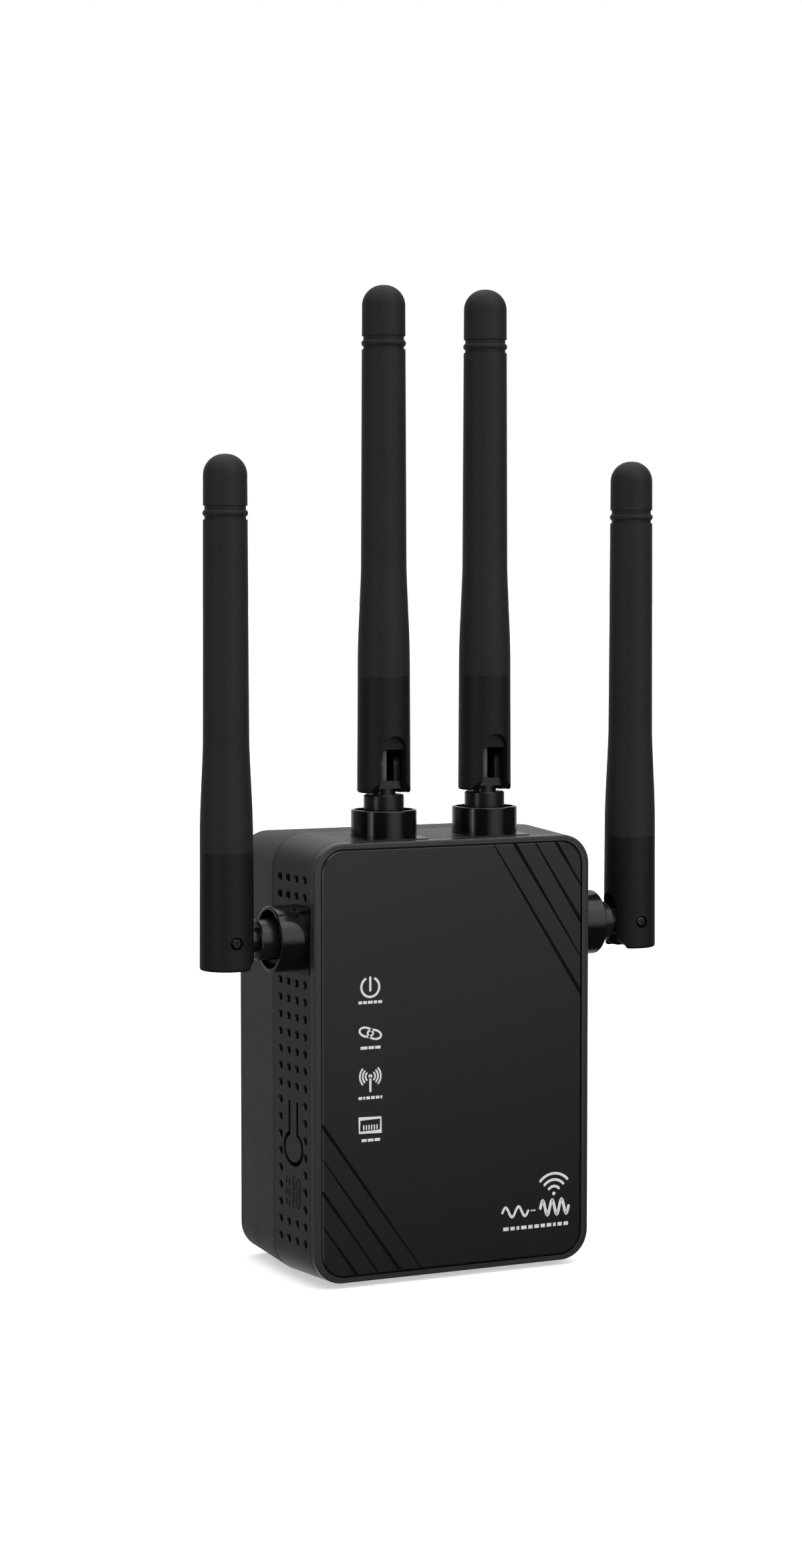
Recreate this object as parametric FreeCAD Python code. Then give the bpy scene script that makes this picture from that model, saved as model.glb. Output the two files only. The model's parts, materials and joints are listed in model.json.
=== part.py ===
"""Plug-in range extender with four folding antennas.

Frame: +Z up, the front panel faces -Y, and the flat back lies on the wall plane y = 0.
The origin is the centre of the back. All sizes are millimetres, and depths run from the back
towards the front, so depth d is the plane y = -d.
"""
import FreeCAD, Part
import math
import os

Vector = FreeCAD.Vector
Rotation = FreeCAD.Rotation
Placement = FreeCAD.Placement
X, Y, Z = Vector(1, 0, 0), Vector(0, 1, 0), Vector(0, 0, 1)

# ---- Case: outline, shells and seams ----
body_width = 59.0
body_height = 84.0
body_depth = 36.5
seam_margin = 2.45          # from the collars back to the seam between the two shells
parting_flare = 0.9         # how far the walls stand out at the seam, for mould draft
corner_radius = 5.8
back_edge_radius = 0.8
wall = 1.8
seam_chamfer = 0.18
shell_lip_depth = 1.5       # tongue of the rear cover inside the front shell
shell_lip_width = 0.8
fit_gap = 0.1               # between seated pieces
touch_gap = 0.03            # between a shaft and the hole that grips it

# ---- Bezel and front panel ----
bezel_depth = 1.9
rim_side = 1.4              # width of the rim beside the panel
rim_top = 1.0               # width of the rim above and below the panel
rim_edge_radius = 0.3
rim_step_width = 0.55       # raised outer bead of the rim
rim_step_depth = 0.12
panel_thickness = 1.2
panel_gap = 0.14
panel_chamfer = 0.35
bezel_skirt_depth = 1.2
bezel_skirt_width = 1.3
groove_thin = 0.25
groove_thick = 0.85
groove_pitch = 4.55         # along the panel's top or bottom edge
upper_groove_start = 8.4    # first groove on the top edge
upper_groove_slope = 1.55
lower_groove_start = -6.9   # first groove on the bottom edge
lower_groove_slope = 1.40
grooves_per_corner = 4

# ---- Side vents ----
vent_radius = 0.75
vent_countersink = 0.18
vent_seam_margin = 3.1      # first column in front of the seam
vent_depth_pitch = 3.45
vent_columns = 4
vent_end_margin = 7.1       # first and last rows from the case's ends
vent_z_pitch = 3.32
vent_collar_margin = 2.2    # solid wall kept round an antenna socket
vent_button_margin = 1.0
button_label_height = 7.4   # plain wall kept below the button for its label

# ---- Antennas ----
collar_front_margin = 2.35  # from the panel's face back to the collars
top_antenna_spacing = 21.8
side_antenna_drop = 18.4    # side swivel axes below the case's top
collar_radius = 6.35
collar_reach = 5.6          # collar rim above the plane of the panel's outline
collar_rim_width = 0.7
collar_cup_depth = 2.4
plinth_rise = 0.1           # plinth above the shell's wall, following its draft
plinth_flange = 1.1         # hidden edge that holds the plinth behind the wall
plinth_flange_depth = 1.6
drum_radius = 3.9
drum_running_gap = 0.05
drum_top = 8.5
drum_flange_width = 1.0     # how far the retaining flange stands out of the drum
drum_flange_thickness = 1.0
drum_flange_gap = 0.1
pin_reach = 14.2            # fold axis above the plane of the panel's outline
pin_radius = 1.1
pin_running_gap = 0.05
pin_hole_rim = 0.15         # counterbored open end of the pin hole
pin_open_recess = 0.3       # pin's end below the sleeve's skin, where its hole is open
pin_blind_recess = 0.97     # and where its hole is blind
pin_dome = 0.4              # rounding of the pin's visible end
pin_hole_rim_depth = 0.4
pin_inner_recess = 0.1      # inner ends inside the faces of the ears
pin_chamfer = 0.2
neck_radius = 2.3
knuckle_half_width = 2.4
knuckle_block_half_depth = 2.6
knuckle_block_height = 1.5
knuckle_block_drop = 3.0    # block top below the fold axis
ear_thickness = 1.15
ear_radius = 2.0
sleeve_radius = 5.17
sleeve_top_radius = 5.05
sleeve_below_pin = 5.35
sleeve_above_pin = 17.0
sleeve_mouth_radius = 0.5
slot_side_gap = 0.25        # beside the knuckle
slot_roof_gap = 0.45        # between the folded knuckle block and the roof of the slot
slot_floor_gap = 0.6        # between the knuckle block and the closed side of the slot
slot_arch_depth = 1.6
slot_sweep_gap = 0.2        # between the folding sleeve and the top of the drum
radome_length = 91.6        # fold axis to the tip
radome_shoulder = 1.7       # straight start of the radome above the sleeve
radome_flare_length = 19.0
radome_base_radius = 4.38
radome_tip_radius = 4.15
radome_wall = 1.2
radome_dome_radius = 3.95
radome_spigot_length = 4.0
radome_spigot_gap = 0.05
ring_bead_from_tip = 11.05
ring_bead_height = 1.4
ring_bead_proud = 0.12
ring_groove_above = 0.7
ring_groove_below = 0.5
ring_groove_depth = 0.25
element_width = 5.0
element_thickness = 0.8
coax_radius = 0.57
coax_bore_radius = 0.9
coax_connector_radius = 1.2

# ---- Pair button ----
button_rise = 25.0          # centre of the pad above the case's bottom
button_setback = 9.0        # behind the panel's face
button_pad_length = 8.4     # along the case's depth, outside its slot
button_pad_height = 7.0
button_slot = 0.85
tongue_width = 3.3          # between the middles of its two slots
tongue_length = 9.1         # from the centre of the pad up to the root
button_thickness = 1.2
button_post_radius = 0.9
plunger_radius = 1.7
plunger_length = 2.4
plunger_travel = 0.42
plunger_bore_gap = 0.2      # wide enough for the plunger to tip with the button
switch_size = 6.0
switch_thickness = 3.5
contact_gap = 0.05

# ---- Mains plug ----
blade_spacing = 12.7
blade_thickness = 1.5
blade_height = 6.35
blade_length = 17.9
blade_hole_radius = 1.6
blade_hole_from_face = 11.4
blade_tip_chamfer = 0.5
insert_half_width = 11.0
insert_half_height = 7.0
insert_flange = 1.5
insert_flange_thickness = 1.2

# ---- Boards, bosses and screws ----
board_thickness = 1.2
main_board_setback = 4.3    # its wall-side face behind the panel's face
main_board_inset = 3.8
power_board_gap = 0.4       # between the plug insert's flange and the power board
power_board_inset = 3.5     # inside the case's outline, at the sides
sheet_setback = 1.9         # behind the seam
sheet_thickness = 0.3
sheet_inset = 3.0
boss_inset_x = 6.1
boss_inset_z = 7.0
rear_boss_radius = 3.0
front_boss_radius = 2.6
rib_thickness = 1.2
screw_radius = 1.2
screw_engagement = 6.0      # case screws past the seam
screw_head_radius = 2.3
screw_head_height = 1.5
screw_recess_radius = 2.7
screw_recess_depth = 3.0
board_screw_radius = 0.95
board_screw_length = 5.0
board_screw_head_radius = 1.8
board_screw_head_height = 1.0
standoff_radius = 2.0
standoff_inset_x = 7.0      # from the edges of the power board
standoff_inset_z = 5.0

# ---- Network socket ----
jack_width = 16.0
jack_height = 12.0          # along the case's depth
jack_length = 15.0
jack_window_width = 11.9
jack_window_height = 7.6
jack_cavity_length = 11.5
jack_shell_thickness = 0.25
latch_slot_width = 6.0
latch_slot_height = 1.8
jack_recess = 0.4           # jack's mouth behind the case's bottom face
contact_count = 8
contact_pitch = 1.02
contact_thickness = 0.35
contact_setback = 2.2       # start of the wires inside the mouth
contact_rise = 2.2
contact_foot = 1.8

# ---- Worked out from the sizes above ----
half_width = body_width / 2
half_height = body_height / 2
antenna_setback = collar_front_margin + collar_radius
antenna_depth = body_depth - antenna_setback
parting_depth = antenna_depth - collar_radius - seam_margin
shell_front_depth = body_depth - bezel_depth
panel_back_depth = body_depth - panel_thickness
main_board_depth = body_depth - main_board_setback
main_board_front = main_board_depth + board_thickness
power_board_depth = wall + insert_flange_thickness + power_board_gap
power_board_front = power_board_depth + board_thickness
sheet_depth = parting_depth - sheet_setback
screw_length = parting_depth + screw_engagement - screw_recess_depth
side_antenna_height = half_height - side_antenna_drop
drum_axis_wall_flare = parting_flare * antenna_setback / (body_depth - parting_depth)
drum_flange_radius = drum_radius + drum_flange_width
collar_cup_radius = collar_radius - collar_rim_width
slot_half_width = knuckle_half_width + slot_side_gap
slot_roof = knuckle_block_half_depth + slot_roof_gap
slot_floor = knuckle_block_half_depth + slot_floor_gap
pin_hole_radius = pin_radius + pin_hole_rim
pin_open_end = sleeve_radius - pin_open_recess
pin_blind_end = sleeve_radius - pin_blind_recess
button_depth = body_depth - button_setback
button_height = button_rise - half_height
tongue_root_height = button_height + tongue_length
vent_depth_first = parting_depth + vent_seam_margin
vent_z_first = half_height - vent_end_margin
vent_rows = int((body_height - 2 * vent_end_margin) / vent_z_pitch) + 1
jack_mouth = -half_height + jack_recess
jack_middle_depth = main_board_depth - jack_height / 2
boss_x = half_width - boss_inset_x
boss_z = half_height - boss_inset_z
power_board_half_width = half_width - power_board_inset
power_board_half_height = boss_z - rear_boss_radius - 1
BOSSES = [(sx * boss_x, sz * boss_z) for sx in (-1, 1) for sz in (-1, 1)]

# name: swivel axis position on the case outline, turn of its outward axis about Y,
# turn of the knuckle about the outward axis, and fold at rest
ANTENNAS = {
    "top_left": (-top_antenna_spacing / 2, half_height, 0, 0, 0),
    "top_right": (top_antenna_spacing / 2, half_height, 0, 0, 0),
    "side_left": (-half_width, side_antenna_height, -90, 90, 90),
    "side_right": (half_width, side_antenna_height, 90, -90, 90),
}
# Side that the hinge pins go in from: the front on the side antennas, the right on the top ones.
PIN_SIDES = {"top_left": 1, "top_right": 1, "side_left": -1, "side_right": 1}


# ---- Shape helpers ----
def block(x0, x1, d0, d1, z0, z1):
    """Box between two x, two depths and two heights."""
    return Part.makeBox(x1 - x0, d1 - d0, z1 - z0, Vector(x0, -d1, z0))


def local_box(x0, x1, y0, y1, z0, z1):
    """Box in a socket's or an antenna's own axes."""
    return Part.makeBox(x1 - x0, y1 - y0, z1 - z0, Vector(x0, y0, z0))


def rod(radius, start, direction, length):
    return Part.makeCylinder(radius, length, start, direction)


def depth_rod(radius, x, z, d0, d1):
    """Cylinder along the depth of the case."""
    return rod(radius, Vector(x, -d0, z), Vector(0, -1, 0), d1 - d0)


def flare(depth):
    """How far the case's wall stands outside its front and back outline at this depth."""
    if depth <= parting_depth:
        return parting_flare * max(depth, 0) / parting_depth
    return parting_flare * max(body_depth - depth, 0) / (body_depth - parting_depth)


def rounded_outline(half_x, half_z, radius, depth):
    """Wire of a rectangle with round corners at one depth."""
    y = -depth
    corners = [(half_x - radius, half_z - radius, 0), (radius - half_x, half_z - radius, 90),
               (radius - half_x, radius - half_z, 180), (half_x - radius, radius - half_z, 270)]
    edges = []
    arc_ends = []
    for cx, cz, start in corners:
        points = []
        for turn in (0, 45, 90):
            angle = math.radians(start + turn)
            points.append(Vector(cx + radius * math.cos(angle), y, cz + radius * math.sin(angle)))
        arc_ends.append((points[0], points[2]))
        edges.append(Part.Arc(*points).toShape())
    wire_edges = []
    for index, arc in enumerate(edges):
        wire_edges.append(arc)
        next_start = arc_ends[(index + 1) % 4][0]
        wire_edges.append(Part.LineSegment(arc_ends[index][1], next_start).toShape())
    return Part.Wire(wire_edges)


def case_outline(depth, inset_x, inset_z=None):
    """Outline of the case at this depth, drawn in by an inset at the sides and at the ends."""
    inset_z = inset_x if inset_z is None else inset_z
    grow = flare(depth)
    radius = max(corner_radius + grow - max(inset_x, inset_z), 0.5)
    return rounded_outline(half_width + grow - inset_x, half_height + grow - inset_z, radius, depth)


def case_solid(d0, d1, inset_x, inset_z=None):
    """Solid between two depths whose sides follow the case's draft."""
    depths = [d0] + [d for d in (parting_depth,) if d0 < d < d1] + [d1]
    wires = [case_outline(d, inset_x, inset_z) for d in depths]
    return Part.makeLoft(wires, True, True)


def straight_solid(d0, d1, half_x, half_z, radius):
    face = Part.Face(rounded_outline(half_x, half_z, radius, d0))
    return face.extrude(Vector(0, d0 - d1, 0))


def edges_at_depth(shape, depth):
    """Edges that lie wholly in the plane at this depth."""
    return [e for e in shape.Edges
            if abs(e.BoundBox.YMin + depth) < 1e-4 and abs(e.BoundBox.YMax + depth) < 1e-4]


def join(shapes):
    solid = shapes[0]
    for shape in shapes[1:]:
        solid = solid.fuse(shape)
    return solid.removeSplitter()


def export(shape, node):
    shape.exportStep("parts/" + node + ".step")
    print(node, len(shape.Solids), "solid(s)", round(shape.Volume, 2), "mm3", shape.isValid())


# ---- Antenna frames ----
def socket_frame(name):
    """Axes of a socket: its local +Z points out of the case and +Y towards the wall."""
    x, z, turn, _, _ = ANTENNAS[name]
    return Placement(Vector(x, -antenna_depth, z), Rotation(Y, turn))


def knuckle_frame(name):
    """Axes of a knuckle: the fold axis is its local X, at pin_reach along local Z."""
    spin = ANTENNAS[name][3]
    return socket_frame(name).multiply(Placement(Vector(0, 0, 0), Rotation(Z, spin)))


def antenna_frame(name):
    """Axes of an antenna: origin on the fold axis, +Z to the tip, slot open towards -Y."""
    fold = ANTENNAS[name][4]
    return knuckle_frame(name).multiply(Placement(Vector(0, 0, pin_reach), Rotation(X, fold)))


def placed(shape, frame):
    copy = shape.copy()
    copy.Placement = frame.multiply(copy.Placement)
    return copy


# ---- Antenna pieces, each in its own frame ----
def plinth_profile(half, front, z0, z1):
    """Slab with a round end about the swivel axis, running to the front."""
    slab = local_box(-half, half, -front, 0, z0, z1)
    return slab.fuse(rod(half, Vector(0, 0, z0), Z, z1 - z0))


def make_socket():
    """Collar and plinth in one moulding, with a hidden flange behind the shell's wall."""
    front = shell_front_depth - antenna_depth - fit_gap
    inner = -wall - fit_gap
    flange_half = collar_radius + plinth_flange
    plinth = plinth_profile(collar_radius, front, inner, collar_reach / 2)
    front_top = plinth_rise + drum_axis_wall_flare * (1 - front / antenna_setback)
    back_top = plinth_rise + drum_axis_wall_flare * (1 + collar_radius / antenna_setback)
    above = Part.makePolygon([Vector(-2 * flange_half, y, z) for y, z in (
        (-front - 1, front_top), (collar_radius, back_top), (collar_radius, collar_reach),
        (-front - 1, collar_reach), (-front - 1, front_top))])
    plinth = plinth.cut(Part.Face(above).extrude(X * (4 * flange_half)))
    clear_of_skirt = front - bezel_skirt_depth - fit_gap
    flange = plinth_profile(flange_half, clear_of_skirt, inner - plinth_flange_depth, inner)
    flange = flange.cut(local_box(-2 * flange_half, 2 * flange_half, -2 * flange_half, -clear_of_skirt,
                                  2 * inner - plinth_flange_depth, inner))
    collar = rod(collar_radius, Vector(0, 0, inner), Z, collar_reach - inner)
    body = join([plinth, flange, collar])
    rim = [e for e in body.Edges if abs(e.BoundBox.ZMin - collar_reach) < 1e-4]
    body = body.makeFillet(0.3, rim)
    cup = rod(collar_cup_radius, Vector(0, 0, collar_reach - collar_cup_depth), Z, collar_cup_depth + 1)
    bore = rod(drum_radius + drum_running_gap, Vector(0, 0, inner - plinth_flange_depth - 1), Z, 20)
    return body.cut(cup).cut(bore)


def make_knuckle():
    """Swivel drum with its retaining flange, neck, base block and the two ears of the fold."""
    socket_inner = -wall - fit_gap - plinth_flange_depth
    flange_top = socket_inner - drum_flange_gap
    flange_bottom = flange_top - drum_flange_thickness
    block_top = pin_reach - knuckle_block_drop
    block_bottom = block_top - knuckle_block_height
    half = knuckle_half_width
    deep = knuckle_block_half_depth
    drum = rod(drum_radius, Vector(0, 0, flange_bottom), Z, drum_top - flange_bottom)
    top_rim = [e for e in drum.Edges if abs(e.BoundBox.ZMin - drum_top) < 1e-4]
    drum = drum.makeChamfer(0.25, top_rim)
    flange = rod(drum_flange_radius, Vector(0, 0, flange_bottom), Z, drum_flange_thickness)
    neck = rod(neck_radius, Vector(0, 0, drum_top - 1), Z, block_bottom - drum_top + 1.5)
    base = local_box(-half, half, -deep, deep, block_bottom, block_top)
    pieces = [drum, flange, neck, base]
    for side in (-1, 1):
        inner = side * (half - ear_thickness)
        outer = side * half
        x0, x1 = min(inner, outer), max(inner, outer)
        pieces.append(local_box(x0, x1, -ear_radius, ear_radius, block_top - 0.5, pin_reach))
        pieces.append(rod(ear_radius, Vector(x0, 0, pin_reach), X, x1 - x0))
    solid = join(pieces)
    pin_bore = rod(pin_radius + pin_running_gap, Vector(-half - 1, 0, pin_reach), X, 2 * half + 2)
    coax_bore = rod(coax_bore_radius, Vector(0, 0, flange_bottom - 1), Z, block_top - flange_bottom + 2)
    return solid.cut(pin_bore).cut(coax_bore)


def make_hinge_pins(open_side):
    """Two stub pins, one in each ear, so that the coax passes between them."""
    inner = knuckle_half_width - ear_thickness + pin_inner_recess
    pins = []
    for side in (-1, 1):
        end = pin_open_end if side == open_side else pin_blind_end
        pin = rod(pin_radius, Vector(side * inner, 0, 0), Vector(side, 0, 0), end - inner)
        circles = [e for e in pin.Edges if isinstance(e.Curve, Part.Circle)]
        if side == open_side:
            outer = [e for e in circles if abs(e.Curve.Center.x - side * end) < 1e-4]
            pins.append(pin.makeFillet(pin_dome, outer))
        else:
            pins.append(pin.makeChamfer(pin_chamfer, circles))
    return Part.makeCompound(pins)


def make_sleeve(open_side):
    """Slotted lower end of an antenna, open below and on the side it folds towards."""
    height = sleeve_below_pin + sleeve_above_pin
    body = Part.makeCone(sleeve_radius, sleeve_top_radius, height, Vector(0, 0, -sleeve_below_pin), Z)
    mouth = [e for e in body.Edges if abs(e.BoundBox.ZMax + sleeve_below_pin) < 1e-4]
    body = body.makeFillet(sleeve_mouth_radius, mouth)
    reach = sleeve_radius + 1
    slot = local_box(-slot_half_width, slot_half_width, -reach, slot_floor, -sleeve_below_pin - 1, slot_roof)
    arch_back = slot_arch_depth - sleeve_radius
    arch = rod(slot_half_width, Vector(0, -reach, slot_roof), Y, arch_back + reach)
    sweep_half = drum_radius + slot_sweep_gap
    sweep = local_box(-sweep_half, sweep_half, -reach, 0, -reach, 0)
    sweep_radius = pin_reach - drum_top - slot_sweep_gap
    sweep = sweep.cut(rod(sweep_radius, Vector(-reach, 0, 0), X, 2 * reach))
    spigot_bore = sleeve_above_pin - radome_spigot_length - fit_gap
    bore = rod(radome_base_radius - radome_wall + radome_spigot_gap, Vector(0, 0, spigot_bore), Z, 10)
    coax_hole = rod(coax_bore_radius, Vector(0, 0, slot_roof - 1), Z, spigot_bore - slot_roof + 2)
    blind_end = Vector(-open_side * (pin_blind_end + touch_gap), 0, 0)
    pin_hole = rod(pin_radius + touch_gap, blind_end, X * open_side, 2 * reach)
    hole_rim = Vector(open_side * (pin_open_end - pin_hole_rim_depth), 0, 0)
    pin_hole = pin_hole.fuse(rod(pin_hole_radius, hole_rim, X * open_side, reach))
    return body.cut(slot).cut(arch).cut(sweep).cut(bore).cut(coax_hole).cut(pin_hole)


def make_radome():
    """Hollow upper antenna: straight shoulder, flare, long slim tube and a domed tip."""
    bottom = sleeve_above_pin
    shoulder_top = bottom + radome_shoulder
    flare_top = shoulder_top + radome_flare_length
    spigot_radius = radome_base_radius - radome_wall
    spigot_end = bottom - radome_spigot_length
    waist = radome_base_radius + 0.35 * (sleeve_top_radius - radome_base_radius)
    dome_start = radome_length - radome_dome_radius
    flat = radome_tip_radius - radome_dome_radius
    dome_45 = radome_dome_radius * math.sqrt(0.5)

    def at(radius, height):
        return Vector(radius, 0, height)

    flare_curve = Part.BSplineCurve()
    flare_curve.buildFromPoles([at(sleeve_top_radius, shoulder_top),
                                at(sleeve_top_radius, shoulder_top + 0.35 * radome_flare_length),
                                at(waist, shoulder_top + 0.6 * radome_flare_length),
                                at(radome_base_radius, flare_top)])
    bore_radius = spigot_radius - radome_wall
    bore_top = dome_start - 1
    edges = [
        Part.LineSegment(at(bore_radius, spigot_end), at(spigot_radius, spigot_end)),
        Part.LineSegment(at(spigot_radius, spigot_end), at(spigot_radius, bottom)),
        Part.LineSegment(at(spigot_radius, bottom), at(sleeve_top_radius, bottom)),
        Part.LineSegment(at(sleeve_top_radius, bottom), at(sleeve_top_radius, shoulder_top)),
        flare_curve,
        Part.LineSegment(at(radome_base_radius, flare_top), at(radome_tip_radius, dome_start)),
        Part.Arc(at(radome_tip_radius, dome_start), at(flat + dome_45, dome_start + dome_45),
                 at(flat, radome_length)),
        Part.LineSegment(at(flat, radome_length), at(0, radome_length)),
        Part.LineSegment(at(0, radome_length), at(0, bore_top)),
        Part.LineSegment(at(0, bore_top), at(bore_radius + 1, bore_top)),
        Part.LineSegment(at(bore_radius + 1, bore_top), at(bore_radius + 1, flare_top)),
        Part.LineSegment(at(bore_radius + 1, flare_top), at(bore_radius, shoulder_top)),
        Part.LineSegment(at(bore_radius, shoulder_top), at(bore_radius, spigot_end)),
    ]
    profile = Part.Face(Part.Wire([edge.toShape() for edge in edges]))
    solid = profile.revolve(Vector(0, 0, 0), Z, 360)
    bead_half = ring_bead_height / 2
    bead_middle = Vector(0, 0, radome_length - ring_bead_from_tip)
    low = bead_middle - Z * (bead_half + ring_groove_below)
    height = ring_groove_below + ring_bead_height + ring_groove_above
    groove_floor = radome_tip_radius - ring_groove_depth
    ring = rod(radome_tip_radius + 1, low, Z, height).cut(rod(groove_floor, low, Z, height))
    bead = Part.makeTorus(radome_tip_radius + ring_bead_proud - bead_half, bead_half, bead_middle, Z)
    bead = bead.cut(rod(groove_floor - 0.2, low, Z, height))
    return join([solid.cut(ring), bead])


def make_element():
    """Aerial strip with the coax that feeds it from below."""
    bottom = sleeve_above_pin + 1
    top = radome_length - radome_dome_radius - 3
    strip_half = min(element_width / 2, radome_base_radius - 2 * radome_wall - 0.3)
    strip = local_box(-strip_half, strip_half, -element_thickness / 2, element_thickness / 2, bottom, top)
    coax = rod(coax_radius, Vector(0, 0, slot_roof), Z, bottom - slot_roof + 2)
    return join([strip, coax])


# ---- Case pieces ----
def make_rear_cover():
    shell = case_solid(0, parting_depth, 0)
    shell = shell.makeFillet(back_edge_radius, edges_at_depth(shell, 0))
    shell = shell.makeChamfer(seam_chamfer, edges_at_depth(shell, parting_depth))
    shell = shell.cut(case_solid(wall, parting_depth + 1, wall))
    lip_inset = wall + fit_gap
    root_depth = parting_depth - shell_lip_depth
    lip = case_solid(root_depth, parting_depth + shell_lip_depth, lip_inset)
    root = case_solid(root_depth, parting_depth, wall - 0.2)
    lip_hollow = case_solid(root_depth - 1, parting_depth + shell_lip_depth + 1, lip_inset + shell_lip_width)
    shell = join([shell, lip.cut(lip_hollow), root.cut(lip_hollow)])
    for x, z in BOSSES:
        shell = shell.fuse(depth_rod(rear_boss_radius, x, z, wall - 0.5, parting_depth))
        shell = shell.cut(depth_rod(screw_recess_radius, x, z, -1, screw_recess_depth))
        shell = shell.cut(depth_rod(screw_radius + fit_gap, x, z, 0, parting_depth + 1))
    for sx in (-1, 1):
        for sz in (-1, 1):
            x = sx * (power_board_half_width - standoff_inset_x)
            z = sz * (power_board_half_height - standoff_inset_z)
            post = depth_rod(standoff_radius, x, z, wall - 0.5, power_board_depth)
            shell = shell.fuse(post)
    hole = block(-insert_half_width - fit_gap, insert_half_width + fit_gap, -1, wall + 1,
                 -insert_half_height - fit_gap, insert_half_height + fit_gap)
    shell = shell.cut(hole)
    jack_half = jack_width / 2 + 2 * fit_gap
    notch_back = min(parting_depth + touch_gap, main_board_depth - jack_height - fit_gap)
    lip_notch = block(-jack_half, jack_half, notch_back, body_depth,
                      -half_height - parting_flare, -half_height + wall + 2)
    for hollow in socket_slots() + socket_flange_hollows():
        shell = shell.cut(hollow)
    return shell.cut(lip_notch).removeSplitter()


def socket_slots():
    """U-shaped slots, open to the front, that the four sockets slide into."""
    profile = plinth_profile(collar_radius + fit_gap, antenna_setback, -wall - 2, parting_flare + 2)
    return [placed(profile, socket_frame(name)) for name in ANTENNAS]


def socket_flange_hollows():
    """Room behind the wall for the sockets' hidden flanges."""
    inner = -wall - fit_gap
    half = collar_radius + plinth_flange + fit_gap
    profile = plinth_profile(half, antenna_setback, inner - plinth_flange_depth - fit_gap, inner)
    return [placed(profile, socket_frame(name)) for name in ANTENNAS]


def vent_centres():
    """Depth and height of every vent in a full side pattern, clear of the antenna socket."""
    keep_out = collar_radius + vent_collar_margin
    centres = []
    for row in range(vent_rows):
        z = vent_z_first - row * vent_z_pitch
        for column in range(vent_columns):
            depth = vent_depth_first + column * vent_depth_pitch
            if abs(z - side_antenna_height) > keep_out - vent_radius:
                centres.append((depth, z))
    return centres


def vent_blocked_by_button(depth, z):
    beside = abs(depth - button_depth) < button_pad_length / 2
    low = button_height - button_pad_height / 2 - vent_button_margin - button_label_height
    return beside and low < z < tongue_root_height + vent_button_margin


def make_vents(side):
    """Holes through the wall, each with a small countersink outside."""
    reach = half_width + parting_flare + 1
    start = half_width - wall - 2
    way = Vector(side, 0, 0)
    vents = []
    for depth, z in vent_centres():
        if side < 0 and vent_blocked_by_button(depth, z):
            continue
        hole = rod(vent_radius, Vector(side * start, -depth, z), way, reach - start)
        sink_start = Vector(side * (half_width + flare(depth) - vent_countersink), -depth, z)
        wide = vent_radius + 3 * vent_countersink
        sink = Part.makeCone(vent_radius, wide, 3 * vent_countersink, sink_start, way)
        vents.append(hole.fuse(sink))
    return Part.makeCompound(vents)


def button_outline(gap):
    """Keyhole seen from the left: an oval pad with a tongue above it. A gap widens it."""
    left_x = -(half_width + parting_flare + 2)
    long_half = button_pad_length / 2 - button_slot + gap
    high_half = button_pad_height / 2 - button_slot + gap
    centre = Vector(left_x, -button_depth, button_height)
    oval = Part.Ellipse(centre + Vector(0, long_half, 0), centre + Vector(0, 0, high_half), centre)
    pad = Part.Face(Part.Wire([oval.toShape()])).extrude(Vector(parting_flare + wall + 4, 0, 0))
    tongue_half = (tongue_width - button_slot) / 2 + gap
    tongue = Part.makeBox(parting_flare + wall + 4, 2 * tongue_half, tongue_root_height - button_height,
                          Vector(left_x, -button_depth - tongue_half, button_height))
    return pad.fuse(tongue).removeSplitter()


def make_mid_housing():
    shell = case_solid(parting_depth, shell_front_depth, 0)
    shell = shell.makeChamfer(seam_chamfer, edges_at_depth(shell, parting_depth))
    shell = shell.makeChamfer(seam_chamfer, edges_at_depth(shell, shell_front_depth))
    shell = shell.cut(case_solid(parting_depth - 1, shell_front_depth + 1, wall))
    for x, z in BOSSES:
        side = math.copysign(1, x)
        shell = shell.fuse(depth_rod(front_boss_radius, x, z, parting_depth + 0.1, main_board_depth))
        inner, outer = sorted((x, side * (half_width - wall / 2)))
        rib_start = parting_depth + shell_lip_depth + 1
        shell = shell.fuse(block(inner, outer, rib_start, main_board_depth,
                                 z - rib_thickness / 2, z + rib_thickness / 2))
    for x, z in BOSSES:
        shell = shell.cut(depth_rod(screw_radius + touch_gap, x, z, parting_depth - 1, main_board_depth + 1))
    for slot in socket_slots():
        shell = shell.cut(slot)
    shell = shell.cut(make_vents(-1)).cut(make_vents(1))
    shell = shell.cut(button_outline(button_slot))
    jack_d0 = main_board_depth - jack_height - fit_gap
    jack_d1 = main_board_depth + fit_gap
    jack_half = jack_width / 2 + fit_gap
    low = -half_height - parting_flare - 1
    shell = shell.cut(block(-jack_half, jack_half, jack_d0, jack_d1, low, -half_height + wall + 1))
    return shell.removeSplitter()


def make_front_bezel():
    """Rim, flat floor behind the panel, and a skirt inside the front shell and the plinths."""
    skirt_inset = wall + 2 * fit_gap
    window_inset = skirt_inset + bezel_skirt_width
    skirt_back = shell_front_depth - bezel_skirt_depth
    rim = case_solid(shell_front_depth, body_depth, 0)
    rim = rim.makeFillet(rim_edge_radius, edges_at_depth(rim, body_depth))
    rim = rim.makeChamfer(seam_chamfer, edges_at_depth(rim, shell_front_depth))
    skirt = straight_solid(skirt_back, shell_front_depth, half_width - skirt_inset,
                           half_height - skirt_inset, corner_radius - skirt_inset)
    pocket = straight_solid(panel_back_depth, body_depth + 1, half_width - rim_side, half_height - rim_top,
                            corner_radius - rim_top)
    bead_hollow = straight_solid(body_depth - rim_step_depth, body_depth + 1, half_width - rim_step_width,
                                 half_height - rim_step_width, corner_radius - rim_step_width)
    window = straight_solid(skirt_back - 1, body_depth, half_width - window_inset,
                            half_height - window_inset, corner_radius - skirt_inset)
    return join([rim, skirt]).cut(pocket).cut(bead_hollow).cut(window)


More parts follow.
